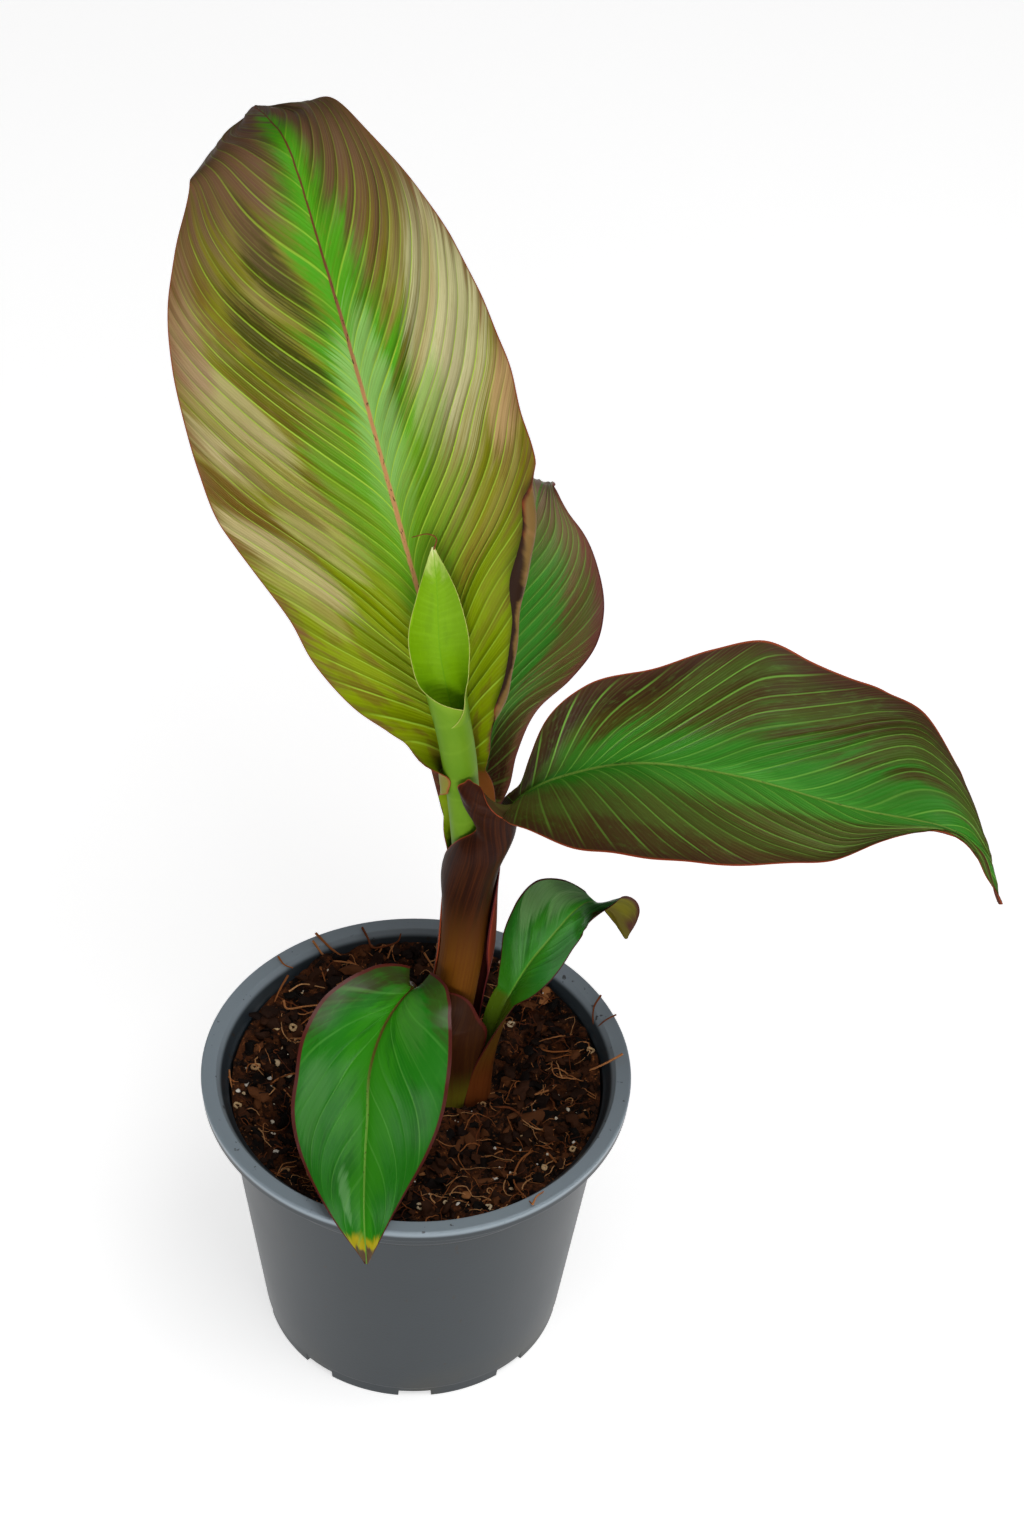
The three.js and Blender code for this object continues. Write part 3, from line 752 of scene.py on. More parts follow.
BACK_LEAF = Leaf(
    stalk=Part(
        spine=[[15.5, 23.9, 122], [16.6, 23.8, 160], [18.2, 24.7, 205], [19.8, 26.4, 240]],
        face=[[0, -1, 0], [0, -1, 0], [0, -1, 0], [0, -1, 0.1], [0, -0.85, 0.5]],
        at=[0, 0.2, 0.4, 0.6, 0.8, 0.9, 1],
        left=Half(
            reach=[18, 18, 18, 18, 13.5, 12.5, 18.5], fold=[0, 0, 0, 0, 3, 15, 30],
            curl=[75, 90, 100, 100, 80, 30, 0],
        ),
        right=Half(
            reach=[11, 12, 17, 29, 22, 14, 11], fold=[0, -5, -10, -10, 0, 20, 40],
            curl=[55, 70, 100, 142, 100, 30, -10],
        ),
    ),
    blade=Part(
        spine=[
            [23, 36, 274], [28, 52, 306], [34, 76, 336], [40, 102, 358], [44, 124, 374], [48, 142, 362],
            [50, 152, 346],
        ],
        face=[[0, -0.85, 0.5], [0, -0.75, 0.7], [0, -0.5, 0.9], [0, 0.2, 1]],
        at=[0, 0.06, 0.14, 0.25, 0.33, 0.42, 0.5, 0.58, 0.67, 0.72, 0.78, 0.84, 1],
        left=Half(reach=[18.5, 31, 34, 36, 27, 14, 0.6], fold=[30, 20, 14, 10], curl=[0, 0, 0, 0]),
        right=Half(
            reach=[11, 14, 14.2, 18.8, 30, 37.8, 37.8, 32.8, 22.6, 13.4, 5.5, 3, 0.6],
            fold=[40, 26, 18, 10], curl=[-10, -20, -20, -10],
        ),
    ),
    columns=24, rows=200, stalk_rows=90, sweep=(0.42, 0.2), veins=24, seed=4, pleat=0.6, swell=0.5,
    wave=1, waves=2.4, thickness=[1.4, 1.4, 1.4, 0.8, 0.7, 0.6, 0.5], keel=[1, 1, 1.5, 4, 2.4, 1, 0.3],
    keel_width=[7, 7, 6, 5, 3, 2, 1.2], rib=-0.4, rib_width=1.2,
)
RIGHT_LEAF = Leaf(
    stalk=Part(
        spine=[
            [20, 10, 150], [24.2, 11, 185], [27, 12, 210], [29, 12.6, 236], [31.8, 10, 262],
            [36, 5, 284],
        ],
        face=[
            [-1, 0, 0], [-1, 0, 0], [-1, 0, 0], [-1, 0, 0], [-1, -0.05, 0.1], [-0.7, -0.25, 0.6],
            [-0.2, -0.4, 0.9],
        ],
        at=[0, 0.54, 0.69, 0.75, 0.8, 0.87, 0.9, 0.95, 0.985, 0.993, 0.997, 1],
        left=Half(
            reach=[28, 31, 28, 23, 17, 10, 8, 5.5, 5, 4.8, 4.6, 4.5],
            fold=[0, 0, 0, 0, 3, 10, 15, 28, 34, 38, 40, 40],
            curl=[179, 179, 150, 120, 85, 48, 33, 14, 5, 2, 0, 0],
        ),
        right=Half(
            reach=[28, 31, 38, 35, 31, 20, 22, 28, 28, 24, 16.5, 11],
            fold=[0, 0, 0, 0, 0, 10, 25, 45, 55, 60, 57, 45],
            curl=[181, 181, 196, 186, 180, 166, 150, 128, 118, 116, 96, 0],
        ),
    ),
    blade=Part(
        spine=[
            [39, 0, 307], [56, -6, 327], [88, -13, 343], [128, -22, 346], [172, -33, 342],
            [208, -43, 343], [224, -45.5, 333], [235, -46, 305],
        ],
        face=[
            [-0.2, -0.4, 0.9], [-0.1, -0.4, 0.9], [0.1, -0.4, 0.9], [0.35, -0.4, 0.9], [0.8, -0.4, 0.5],
        ],
        at=[0, 0.04, 0.08, 0.12, 0.2, 0.286, 0.36, 0.43, 0.5, 0.57, 0.64, 0.714, 0.78, 0.857, 0.93, 1],
        left=Half(
            reach=[4.5, 5, 12.4, 22.3, 33.8, 38.4, 48.6, 55.8, 52.8, 52, 52.4, 47, 28.6, 7, 3.6, 0.6],
            fold=[40, 24, 20, 16, 10], curl=[0, 0, -10, -20, -10],
        ),
        right=Half(
            reach=[11, 21, 31.5, 39, 49.8, 55, 55.4, 52.8, 45.6, 37.8, 29.6, 14.5, 3.6, 3.4, 2, 0.6],
            fold=[45, 26, 20, 14, 10], curl=[0, 0, 0, 0, 0],
        ),
    ),
    columns=30, rows=280, stalk_rows=260, sweep=(0.5, 0.28), veins=24, seed=5, pleat=0.8, swell=0.6,
    wave=1.4, waves=3, thickness=[1.4, 1.4, 1.4, 0.9, 0.7, 0.6, 0.5],
    keel=[0.2, 0.3, 0.6, 3.5, 2.6, 1.2, 0.3], keel_width=[8, 8, 8, 6, 3, 2, 1.2], rib=-0.5,
    rib_width=1.2,
)
LOW_LEAF = Leaf(
    stalk=Part(
        spine=[[29, 3, 122], [31, 4, 150], [35.5, 6, 172]],
        face=[[-0.9, 0.4, 0], [-0.9, 0.2, 0.2], [-0.8, -0.2, 0.3], [-0.6, -0.6, 0.4]],
        left=Half(reach=[10, 9, 8, 7], fold=[0, 0, 10, 30], curl=[40, 50, 40, 0]),
        right=Half(reach=[12, 11, 9, 8], fold=[0, 0, 10, 30], curl=[45, 55, 40, 0]),
    ),
    blade=Part(
        spine=[
            [40.5, 8, 187], [48, 8, 206], [54, 7.5, 218], [60, 7.5, 229], [66, 8, 238.5], [72, 9, 243],
            [77.5, 10.5, 239.5], [82.5, 12, 234], [86, 12.5, 226], [89, 13, 218],
        ],
        face=[
            [-0.6, -0.6, 0.4], [-0.57, -0.6, 0.45], [-0.52, -0.6, 0.55], [-0.45, -0.6, 0.65],
            [-0.35, -0.55, 0.75], [-0.15, -0.4, 0.9], [0.15, 0.2, 0.9], [0.3, 0.8, 0.6], [0.3, 1, 0.4],
            [0.2, 1, 0.3],
        ],
        at=[0, 0.12, 0.24, 0.36, 0.48, 0.58, 0.66, 0.73, 0.82, 0.91, 1],
        left=Half(
            reach=[7, 12, 18.5, 23.5, 25.2, 18.5, 9, 3, 4, 2, 0.5],
            fold=[30, 22, 16, 10, 2, 0, 0, 0, 0, 0, 0],
            curl=[0, -10, -15, -20, -25, -20, -10, 0, 0, 0, 0],
        ),
        right=Half(
            reach=[8, 12, 13.5, 12.8, 11.2, 11.2, 12, 11, 11.5, 8.6, 0.5],
            fold=[30, 18, 10, 5, 0, 0, -5, 30, 38, 38, 30],
            curl=[0, -10, -12, -10, -6, 0, 0, 0, 0, 0, 0],
        ),
    ),
    columns=20, rows=200, stalk_rows=70, sweep=(0.6, 0.1), veins=12, seed=6, pleat=0.1, swell=0.15,
    wave=0.3, waves=2, thickness=[1.6, 1.4, 1.2, 0.7, 0.6, 0.5, 0.4],
    keel=[3, 2.6, 2.4, 2, 1, 0.5, 0.2], keel_width=[6, 5, 4, 3, 2, 1.4, 1], rib=-0.25, rib_width=0.9,
)
FRONT_LEAF = Leaf(
    stalk=Part(
        spine=[[-1.2, 7.5, 122], [-0.5, 5.5, 152], [0, 2, 180]],
        face=[[1, 0.1, 0], [1, 0.1, 0], [0.9, 0.1, 0.3], [0, 0, 1]],
        at=[0, 0.3, 0.55, 0.66, 0.74, 0.82, 0.9, 1],
        left=Half(
            reach=[40, 40, 41, 41, 37, 29, 16, 6], fold=[0, 0, 0, 0, 0, 0, 15, 40],
            curl=[152, 152, 150, 148, 138, 110, 50, -40],
        ),
        right=Half(
            reach=[16, 15, 13, 11, 9, 8, 7, 6], fold=[0, 0, 0, 0, 5, 15, 40, 62],
            curl=[60, 55, 45, 36, 30, 20, 0, -20],
        ),
    ),
    blade=Part(
        spine=[
            [-2, -3, 198], [-13, -12, 186], [-19, -29, 174], [-19, -49, 165], [-19, -67, 158],
            [-18, -90, 150], [-16, -106, 137],
        ],
        face=[[0, 0, 1], [0, -0.25, 1], [0, -0.4, 1], [0, -0.6, 0.8], [0, -0.8, 0.6]],
        at=[0, 0.02, 0.06, 0.12, 0.25, 0.38, 0.5, 0.62, 0.75, 0.88, 1], square=0.75,
        left=Half(
            reach=[6, 15.5, 23, 28, 34, 34.6, 31, 25.5, 17.6, 9, 0.5], fold=[40, 18, 6, 6, 10],
            curl=[-40, -26, -20, -10, 0], lobe=9,
        ),
        right=Half(
            reach=[6, 16, 24, 29.5, 32.7, 32, 33, 29.6, 22.2, 12, 0.5], fold=[62, 32, 14, 8, 10],
            curl=[-20, -20, -16, -10, 0], lobe=8,
        ),
    ),
    columns=28, rows=220, stalk_rows=90, sweep=(0.85, 0.08), veins=8, seed=8, pleat=0.22, swell=0.4,
    wave=0.6, waves=2, thickness=[1.6, 1.5, 1.2, 0.8, 0.7, 0.6, 0.5],
    keel=[0.5, 0.8, 2, 2.2, 1.2, 0.7, 0.3], keel_width=[8, 7, 5, 3, 2.2, 1.6, 1.2], rib=-0.5,
    rib_width=1.1,
)
SPEAR_LEAF = Leaf(
    stalk=Part(
        spine=[[20.5, 19.5, 236]], face=[[0, -1, 0.1], [0, -1, 0.2]],
        left=Half(reach=[34, 34], fold=[0, 0], curl=[300, 300]),
        right=Half(reach=[29, 29], fold=[0, 0], curl=[290, 290]),
    ),
    blade=Part(
        spine=[
            [20, 19, 262], [17.4, 18.2, 296], [13, 19, 330], [6, 22, 366], [4, 25, 397], [2, 27, 418],
        ],
        face=[[0, -1, 0.2], [0, -1, 0.3]],
        at=[0, 0.3, 0.47, 0.51, 0.54, 0.575, 0.6, 0.625, 0.66, 0.74, 0.86, 1],
        left=Half(
            reach=[34, 36, 38, 36, 31, 24, 19, 16, 14.5, 14, 9, 0.4],
            fold=[0, 0, 0, 0, 0, 0, 0, 0, 3, 6, 8, 10],
            curl=[300, 300, 300, 280, 235, 180, 136, 94, 64, 44, 30, 20],
        ),
        right=Half(
            reach=[29, 30, 29, 22, 18, 16.5, 16.5, 16.5, 16, 14.5, 9.5, 0.4],
            fold=[0, 0, 0, 0, 0, 0, 0, 0, 3, 6, 8, 10],
            curl=[290, 290, 245, 165, 128, 110, 100, 88, 72, 46, 30, 20],
        ),
    ),
    columns=40, rows=260, stalk_rows=20, sweep=(0.05, 0.1), veins=12, seed=9, pleat=0.05, swell=0,
    wave=0.25, waves=2, thickness=[0.6, 0.6, 0.6, 0.6, 0.6, 0.5, 0.4],
    keel=[0.3, 0.3, 0.3, 0.3, 0.6, 0.5, 0.2], keel_width=[3, 3, 3, 3, 2, 1.4, 1], rib=-0.15,
    rib_width=0.8,
)

# Leaves: looks

# Pairs that end in from, to, span or turn are places along the leaf or across it. A patch is a colour,
# its share, its middle and half length along the leaf, and its middle and half width across it.
# Pale patches are painted sheen and painted highlights; darker ones are the leaf's own colour.
COMMON_LOOK = dict(
    heart_to=(0.36, 0.36), cloud_pace=0.3, blotch_from=(0.0, 0.14), blotch_span=(0.15, 1.2),
    blotch_share=0.8, shade_share=0.0, stain=(90, 56, 40), stain_from=(0.0, 0.14),
    stain_span=(0.5, 1.4), stain_share=0.0, silver=(80, 120, 80), silver_from=(0.0, 0.15),
    silver_span=(0.0, 1.0), silver_share=0.0, foot_to=0.06, fibre_share=0.25, vein_width=0.1,
    vein_share=0.6, vein_fade=0.9, thread_share=0.12, band=(84, 54, 48), band_from=(2.0, 2.1),
    band_gap=(-0.2, -0.1), tip_from=(0.97, 1.06), tip_ragged=0.15, rim_from=(0.9, 1.04), edge_from=0.98,
    rib_wide=1.5, rib_turn=(2.0, 2.1), rib_top=(90, 60, 40), wing=None, rough=(0.36, 0.5), gloss=0.14,
    ridge=0.3, under_gloss=0.08, stalk_turn=(-0.75, -0.35), blade_from=(-0.05, 0.1),
    scorch=(44, 26, 16), scorch_from=(2.0, 2.1), slant=0.35, patches=[],
)


def leaf_look(**own):
    """What all leaves share, changed by what a leaf has of its own."""
    return SimpleNamespace(**(COMMON_LOOK | own))


TALL_LOOK = leaf_look(
    seed=1.3, field=(120, 118, 10), heart=(76, 154, 18), heart_to=(0.2, 0.34), blotch=(60, 62, 0),
    blotch_from=(-0.02, 0.1), blotch_span=(0.1, 0.6), blotch_share=0.5, shade_share=0.3,
    stain=(112, 72, 30), stain_from=(0.0, 0.1), stain_span=(0.35, 1.4), stain_share=0.6,
    # Painted sheen: the silver colour and its places stand for light on the blade.
    silver=(178, 162, 112), silver_from=(-0.06, 0.12), silver_span=(0.36, 0.76), silver_share=0.4,
    foot=(130, 148, 0), foot_to=0.5, fibre=(96, 94, 6), fleck=(134, 128, 44), vein=(160, 196, 56),
    vein_width=0.065, vein_share=0.9, vein_fade=0.55, band=(106, 76, 54), band_from=(0.66, 0.86),
    band_gap=(0.04, 0.35), tip=(92, 66, 58), tip_from=(0.88, 0.99), tip_ragged=0.4, rim=(118, 76, 48),
    rim_from=(0.9, 1.1), edge=(128, 56, 30), edge_from=0.988, rib=(188, 134, 86),
    rib_speck=(78, 42, 28), rib_wide=2.3, rib_turn=(0.45, 0.75), rib_top=(104, 56, 34),
    channel=(136, 160, 20), wing=(206, 120, 62), rough=(0.4, 0.55), gloss=0.1, under=(112, 54, 40),
    under_patch=(128, 98, 40), under_rim=(122, 94, 50), under_vein=(150, 110, 70),
    under_rib=(150, 92, 60), stalk_low=(126, 150, 36), stalk_top=(140, 152, 40),
    stalk_streak=(160, 120, 40), stalk_edge=(170, 96, 40), scorch_from=(1.028, 1.042), slant=0.34,
    patches=[
        # Painted sheen: the pale mint and grey-beige patches; the olive, brown and green ones are the
        # blade's own colour.
        ((158, 196, 116), 0.55, (0.48, 0.17), (0.05, 0.18)),
        ((206, 200, 154), 0.7, (0.38, 0.13), (0.74, 0.42)),
        ((186, 172, 122), 0.6, (0.32, 0.045), (-0.72, 0.24)),
        ((190, 172, 130), 0.65, (0.23, 0.03), (-0.86, 0.18)),
        ((178, 170, 96), 0.5, (0.25, 0.045), (-0.5, 0.28)),
        ((190, 174, 124), 0.7, (0.095, 0.045), (-0.75, 0.26)),
        ((150, 114, 90), 0.7, (0.37, 0.1), (-0.93, 0.14)),
        ((102, 68, 20), 0.8, (0.165, 0.03), (-0.87, 0.18)),
        ((54, 52, 0), 0.9, (0.61, 0.05), (-0.34, 0.26)),
        ((60, 60, 0), 0.9, (0.49, 0.045), (-0.38, 0.28)),
        ((84, 84, 4), 0.6, (0.4, 0.03), (-0.5, 0.3)),
        ((96, 112, 0), 0.6, (0.05, 0.06), (-0.38, 0.22)),
        ((178, 172, 106), 0.55, (0.19, 0.03), (-0.52, 0.18)),
        ((104, 84, 20), 0.7, (0.23, 0.018), (-0.68, 0.2)),
        ((172, 166, 90), 0.45, (0.03, 0.05), (-0.8, 0.18)),
        ((96, 152, 22), 0.55, (0.34, 0.14), (-0.16, 0.22)),
        ((108, 156, 22), 0.6, (0.28, 0.16), (0.24, 0.32)),
        ((132, 160, 12), 0.45, (0.02, 0.12), (0.6, 0.3)),
        ((122, 92, 40), 0.55, (0.58, 0.04), (0.55, 0.32)),
        ((150, 120, 60), 0.4, (0.43, 0.02), (0.62, 0.32)),
        ((196, 160, 112), 0.7, (0.21, 0.05), (0.92, 0.16)),
        ((130, 118, 20), 0.5, (0.15, 0.04), (0.65, 0.27)),
    ],
)
BACK_LOOK = leaf_look(
    seed=4.1, field=(104, 112, 46), heart=(64, 148, 44), heart_to=(0.5, 0.5), blotch=(98, 78, 36),
    blotch_span=(0.35, 1.2), shade_share=0.25, stain=(124, 90, 58), stain_share=0.6, foot=(68, 30, 20),
    foot_to=0.38, fibre=(60, 100, 30), fleck=(96, 140, 66), vein=(124, 178, 72), band=(126, 104, 72),
    band_from=(0.5, 0.75), tip=(132, 108, 98), tip_from=(0.66, 0.86), rim=(124, 72, 60),
    rim_from=(0.8, 0.96), edge=(98, 36, 36), rib=(96, 130, 60), rib_speck=(60, 70, 30),
    channel=(70, 28, 22), under=(92, 28, 28), under_patch=(76, 46, 26), under_rim=(104, 38, 34),
    under_vein=(120, 60, 46), under_rib=(120, 50, 40), stalk_low=(112, 104, 30),
    stalk_top=(116, 42, 32), stalk_turn=(-0.9, -0.62), stalk_streak=(120, 44, 32),
    stalk_edge=(160, 60, 44),
)
RIGHT_LOOK = leaf_look(
    seed=7.7, field=(70, 88, 22), heart=(50, 128, 26), heart_to=(0.42, 0.3), blotch=(70, 48, 14),
    blotch_from=(-0.06, 0.1), blotch_span=(0.3, 1.2), shade_share=0.35, stain=(66, 40, 20),
    stain_from=(-0.04, 0.1), stain_span=(0.6, 1.4), stain_share=0.4, foot=(82, 52, 34), foot_to=0.22,
    fibre=(76, 92, 36), fleck=(92, 138, 54), vein=(122, 182, 66), vein_width=0.065, vein_share=0.75,
    tip=(84, 96, 34), rim=(74, 42, 28), rim_from=(0.84, 1.0), edge=(150, 66, 34), rib=(128, 170, 66),
    rib_speck=(90, 120, 46), rib_wide=0.9, channel=(66, 36, 20), under=(84, 36, 22),
    under_patch=(78, 46, 24), under_rim=(96, 42, 28), under_vein=(112, 64, 40), under_rib=(84, 40, 24),
    stalk_low=(118, 70, 16), stalk_top=(40, 14, 5), stalk_streak=(84, 40, 12), stalk_edge=(74, 32, 16),
    slant=0.45,
    patches=[
        ((54, 28, 16), 0.85, (-0.2, 0.16), (-0.8, 0.4)),
        ((66, 42, 26), 0.7, (0.2, 0.2), (-0.95, 0.14)),
        # Painted light: the next patch lightens the lower half of the blade.
        ((112, 122, 56), 0.35, (0.1, 0.5), (0.5, 0.4)),
        ((86, 168, 56), 0.5, (0.5, 0.3), (0.12, 0.2)),
        ((82, 52, 28), 0.7, (-0.08, 0.24), (0.9, 0.3)),
        ((60, 34, 16), 0.7, (-0.14, 0.12), (-0.9, 0.25)),
    ],
)
LOW_LOOK = leaf_look(
    seed=2.9, field=(42, 128, 36), heart=(56, 148, 34), blotch=(36, 108, 28), foot=(52, 126, 20),
    foot_to=0.3, fibre=(40, 120, 34), fleck=(66, 140, 52), vein=(76, 146, 50), vein_share=0.12,
    tip=(74, 40, 30), tip_from=(0.84, 0.94), rim=(46, 76, 26), rim_from=(0.98, 1.1), edge=(72, 26, 22),
    edge_from=0.955, rib=(110, 170, 54), rib_speck=(90, 140, 40), rib_wide=0.8, channel=(84, 110, 20),
    rough=(0.2, 0.34), gloss=0.4, ridge=0.05, under=(104, 98, 6), under_patch=(84, 80, 8),
    under_rim=(70, 34, 22), under_vein=(112, 108, 30), under_rib=(90, 80, 20), stalk_low=(100, 50, 18),
    stalk_top=(84, 56, 14), stalk_streak=(72, 32, 12), stalk_edge=(88, 42, 20),
    patches=[
        # Painted highlights: these pale green patches stand for gloss on the blade.
        ((160, 208, 140), 0.48, (0.24, 0.2), (-0.8, 0.35)),
        ((156, 204, 136), 0.45, (0.46, 0.12), (-0.4, 0.35)),
        ((110, 172, 96), 0.3, (0.08, 0.12), (-0.45, 0.4)),
    ],
)
FRONT_LOOK = leaf_look(
    seed=5.2, field=(32, 120, 14), heart=(48, 136, 14), blotch=(26, 102, 12), foot=(58, 84, 28),
    foot_to=0.12, fibre=(32, 112, 16), fleck=(50, 138, 30), vein=(96, 168, 66), vein_width=0.05,
    vein_share=0.4, band=(176, 160, 24), band_from=(0.9, 0.93), tip=(96, 72, 56),
    tip_from=(0.945, 0.96), tip_ragged=0.1, rim=(64, 80, 26), rim_from=(1.0, 1.14), edge=(84, 30, 22),
    edge_from=0.945, rib=(96, 84, 34), rib_speck=(84, 96, 34), rib_wide=1.1, rib_turn=(0.25, 0.5),
    rib_top=(108, 162, 54), channel=(80, 52, 22), rough=(0.24, 0.36), gloss=0.16, ridge=0.05,
    under=(84, 104, 30), under_patch=(98, 66, 30), under_rim=(96, 46, 30), under_vein=(110, 124, 50),
    under_rib=(112, 96, 36), stalk_low=(98, 92, 20), stalk_top=(54, 26, 10), stalk_turn=(-0.92, -0.55),
    stalk_streak=(76, 44, 14), stalk_edge=(60, 26, 12),
    patches=[
        ((54, 48, 22), 0.85, (-0.24, 0.2), (0.95, 0.5)),
        ((58, 62, 22), 0.7, (-0.24, 0.14), (-0.8, 0.45)),
        # Painted highlights: the three pale green patches below stand for gloss on the blade.
        ((128, 184, 116), 0.5, (0.64, 0.1), (0.4, 0.14)),
        ((92, 156, 74), 0.3, (0.22, 0.16), (0.72, 0.2)),
        ((100, 146, 72), 0.25, (-0.04, 0.14), (-0.34, 0.34)),
    ],
)
SPEAR_LOOK = leaf_look(
    seed=6.6, field=(114, 158, 4), heart=(118, 164, 4), blotch=(108, 152, 4), foot=(140, 180, 36),
    fibre=(122, 168, 6), fleck=(132, 176, 18), vein=(156, 200, 44), vein_share=0.12,
    band=(190, 204, 116), band_from=(0.9, 1.0), tip=(220, 214, 170), tip_from=(0.97, 1.02),
    rim=(136, 182, 20), edge=(186, 190, 100), rib=(110, 162, 10), rib_speck=(104, 154, 10),
    rib_wide=0.6, channel=(136, 176, 40), under=(108, 146, 32), under_patch=(94, 136, 24),
    under_rim=(122, 156, 40), under_vein=(118, 154, 40), under_rib=(100, 140, 28),
    stalk_low=(106, 140, 30), stalk_top=(106, 142, 30), stalk_streak=(92, 132, 22),
    stalk_edge=(150, 172, 66),
)


# Pot


def rounded(corners, steps=4):
    """A profile through corners of (radius, height, rounding), each held tight by a point on each side."""
    points = [np.array(corners[0][:2], float)]
    for before, here, after in zip(corners, corners[1:], corners[2:]):
        corner = np.array(here[:2], float)
        radius = here[2]
        if radius == 0:
            points.append(corner)
            continue
        back = np.array(before[:2]) - corner
        ahead = np.array(after[:2]) - corner
        start = corner + radius * unit(back)
        end = corner + radius * unit(ahead)
        shares = np.linspace(0, 1, steps)
        curve = [(1 - f) ** 2 * start + 2 * f * (1 - f) * corner + f**2 * end for f in shares]
        for side, way in ((0, back), (len(curve) + 1, ahead)):
            hold = min(EDGE_HOLD * radius, np.linalg.norm(way) / 2)
            if hold > 1.05 * radius:
                curve.insert(side, corner + hold * unit(way))
        points.extend(curve)
    points.append(np.array(corners[-1][:2], float))
    return np.array(points)


def wall_radius(height):
    """Radius of the pot's outer wall below the collar."""
    low = FOOT_RADIUS + FOOT_STEP
    top = COLLAR_RADIUS - COLLAR_STEP
    return low + (top - low) * (height - FOOT_HEIGHT) / (COLLAR_HEIGHT - FOOT_HEIGHT)


def turned(name, profile, angles, materials, shift):
    """A closed mesh of revolution of a profile from axis to axis, with heights shifted."""
    radius = np.repeat(profile[:, :1], len(angles), axis=1)
    height = np.repeat(profile[:, 1:], len(angles), axis=1)
    height = height + shift(radius, height, angles[None, :])
    points = np.stack([radius * np.cos(angles), radius * np.sin(angles), height], -1).reshape(-1, 3)
    return mesh_object(name, points, ring_faces(len(profile), len(angles)), materials, sharp=35)


def make_pot():
    """Nursery pot: foot band with drain notches, tapered wall, collar with two fine lines, lipped rim."""
    under = POT_HEIGHT - LIP_THICKNESS
    lip_end = POT_HEIGHT - LIP_DROP
    lip_radius = RIM_RADIUS - LIP_THICKNESS
    notch_radius = FOOT_RADIUS - DRAIN_WIDTH / 2
    second_line = COLLAR_HEIGHT + LINE_GAP
    between = COLLAR_RADIUS + (NECK_RADIUS - COLLAR_RADIUS) * LINE_GAP / (lip_end - COLLAR_HEIGHT)
    corners = [
        (1, UNDERSIDE_RECESS, 0),
        (FOOT_RADIUS - 14, UNDERSIDE_RECESS, 0.6),
        (FOOT_RADIUS - 13, 0, 0.4),
        (notch_radius, 0, 0),
        (notch_radius + 0.05, 0, 0),
        (FOOT_RADIUS, 0, 0.6),
        (FOOT_RADIUS + FOOT_STEP / 2, FOOT_HEIGHT, 0.15),
        (FOOT_RADIUS + FOOT_STEP, FOOT_HEIGHT + 0.7, 0.2),
        (wall_radius(COLLAR_HEIGHT) - 0.05, COLLAR_HEIGHT - 0.3, 0.15),
        (COLLAR_RADIUS - 0.3, COLLAR_HEIGHT + 0.5, 0.2),
        (COLLAR_RADIUS, COLLAR_HEIGHT + COLLAR_STEP, 0.3),
        (between, second_line, 0.1),
        (between + 0.3, second_line + 0.35, 0.15),
        (between + 0.1, second_line + 0.9, 0.1),
        (NECK_RADIUS, lip_end, 1.5),
        (RIM_INNER_RADIUS + WALL, under, 0.8),
        (lip_radius, under, 0.5),
        (lip_radius - 0.3, lip_end, 0.3),
        (RIM_RADIUS - 0.5, lip_end, 0.5),
        (RIM_RADIUS, POT_HEIGHT - 0.6, 0.4),
        (RIM_RADIUS - 0.7, POT_HEIGHT, 0.4),
        (RIM_INNER_RADIUS + 0.3, POT_HEIGHT - 0.3, 0.3),
        (NECK_RADIUS - WALL + 0.4, lip_end, 0.6),
        (COLLAR_RADIUS - WALL + 0.6, lip_end - 1.2, 0.4),
        (COLLAR_RADIUS - WALL, COLLAR_HEIGHT + COLLAR_STEP, 0.4),
        (wall_radius(COLLAR_HEIGHT) - WALL, COLLAR_HEIGHT - 1, 0.4),
        (wall_radius(FLOOR_THICKNESS) - WALL, FLOOR_THICKNESS, 2),
        (1, FLOOR_THICKNESS, 0),
    ]
    half_turn = DRAIN_WIDTH / 2 / FOOT_RADIUS
    drains = DRAIN_TURN + np.arange(DRAIN_COUNT) * 2 * np.pi / DRAIN_COUNT
    edges = [drains + side * (half_turn + inset) for side in (-1, 1) for inset in (0, -0.004)]
    angles = np.concatenate([np.arange(POT_SEGMENTS) * 2 * np.pi / POT_SEGMENTS, *edges])
    angles = np.unique(np.round(angles % (2 * np.pi), 5))

    def notches(radius, height, angle):
        """How far the foot is raised at the drains."""
        off = np.abs((angle - drains[:, None, None] + np.pi) % (2 * np.pi) - np.pi).min(axis=0)
        inside = (off < half_turn - 0.002) & (radius > notch_radius + 0.02) & (height < DRAIN_HEIGHT)
        return np.where(inside, DRAIN_HEIGHT - height, 0)

    return turned("pot_shell", rounded(corners), angles, [pot_finish()], notches)


# Potting mix


def make_clods(rng):
    """Places, radii and heights of the clods and crumbs that make the surface of the mix."""
    clods = []
    for count, low, high in CLOD_SIZES:
        spread = SOIL_RADIUS * np.sqrt(rng.uniform(0, 1, count))
        angle = rng.uniform(0, 2 * np.pi, count)
        size = rng.uniform(low, high, count)
        lift = -size * rng.uniform(*CLOD_SINK, count)
        clods.append(np.stack([spread * np.cos(angle), spread * np.sin(angle), size, lift], -1))
    return np.concatenate(clods)


def soil_height(x, y, clods):
    """Height of the mix: level round the plant, higher at the wall and at the back, all of it in clods."""
    from_middle = np.hypot(x, y)
    edge = np.clip((from_middle - SOIL_FLAT_RADIUS) / (SOIL_RADIUS - SOIL_FLAT_RADIUS), 0, 1)
    level = SOIL_LEVEL + SOIL_EDGE_RISE * edge**1.5 + SOIL_BACK_RISE * np.clip(y / SOIL_RADIUS, -0.6, 1)
    bumps = np.zeros_like(x)
    for cx, cy, size, lift in clods:
        off = (x - cx) ** 2 + (y - cy) ** 2
        near = off < size**2
        bumps[near] = np.maximum(bumps[near], lift + np.sqrt(size**2 - off[near]))
    return level + bumps


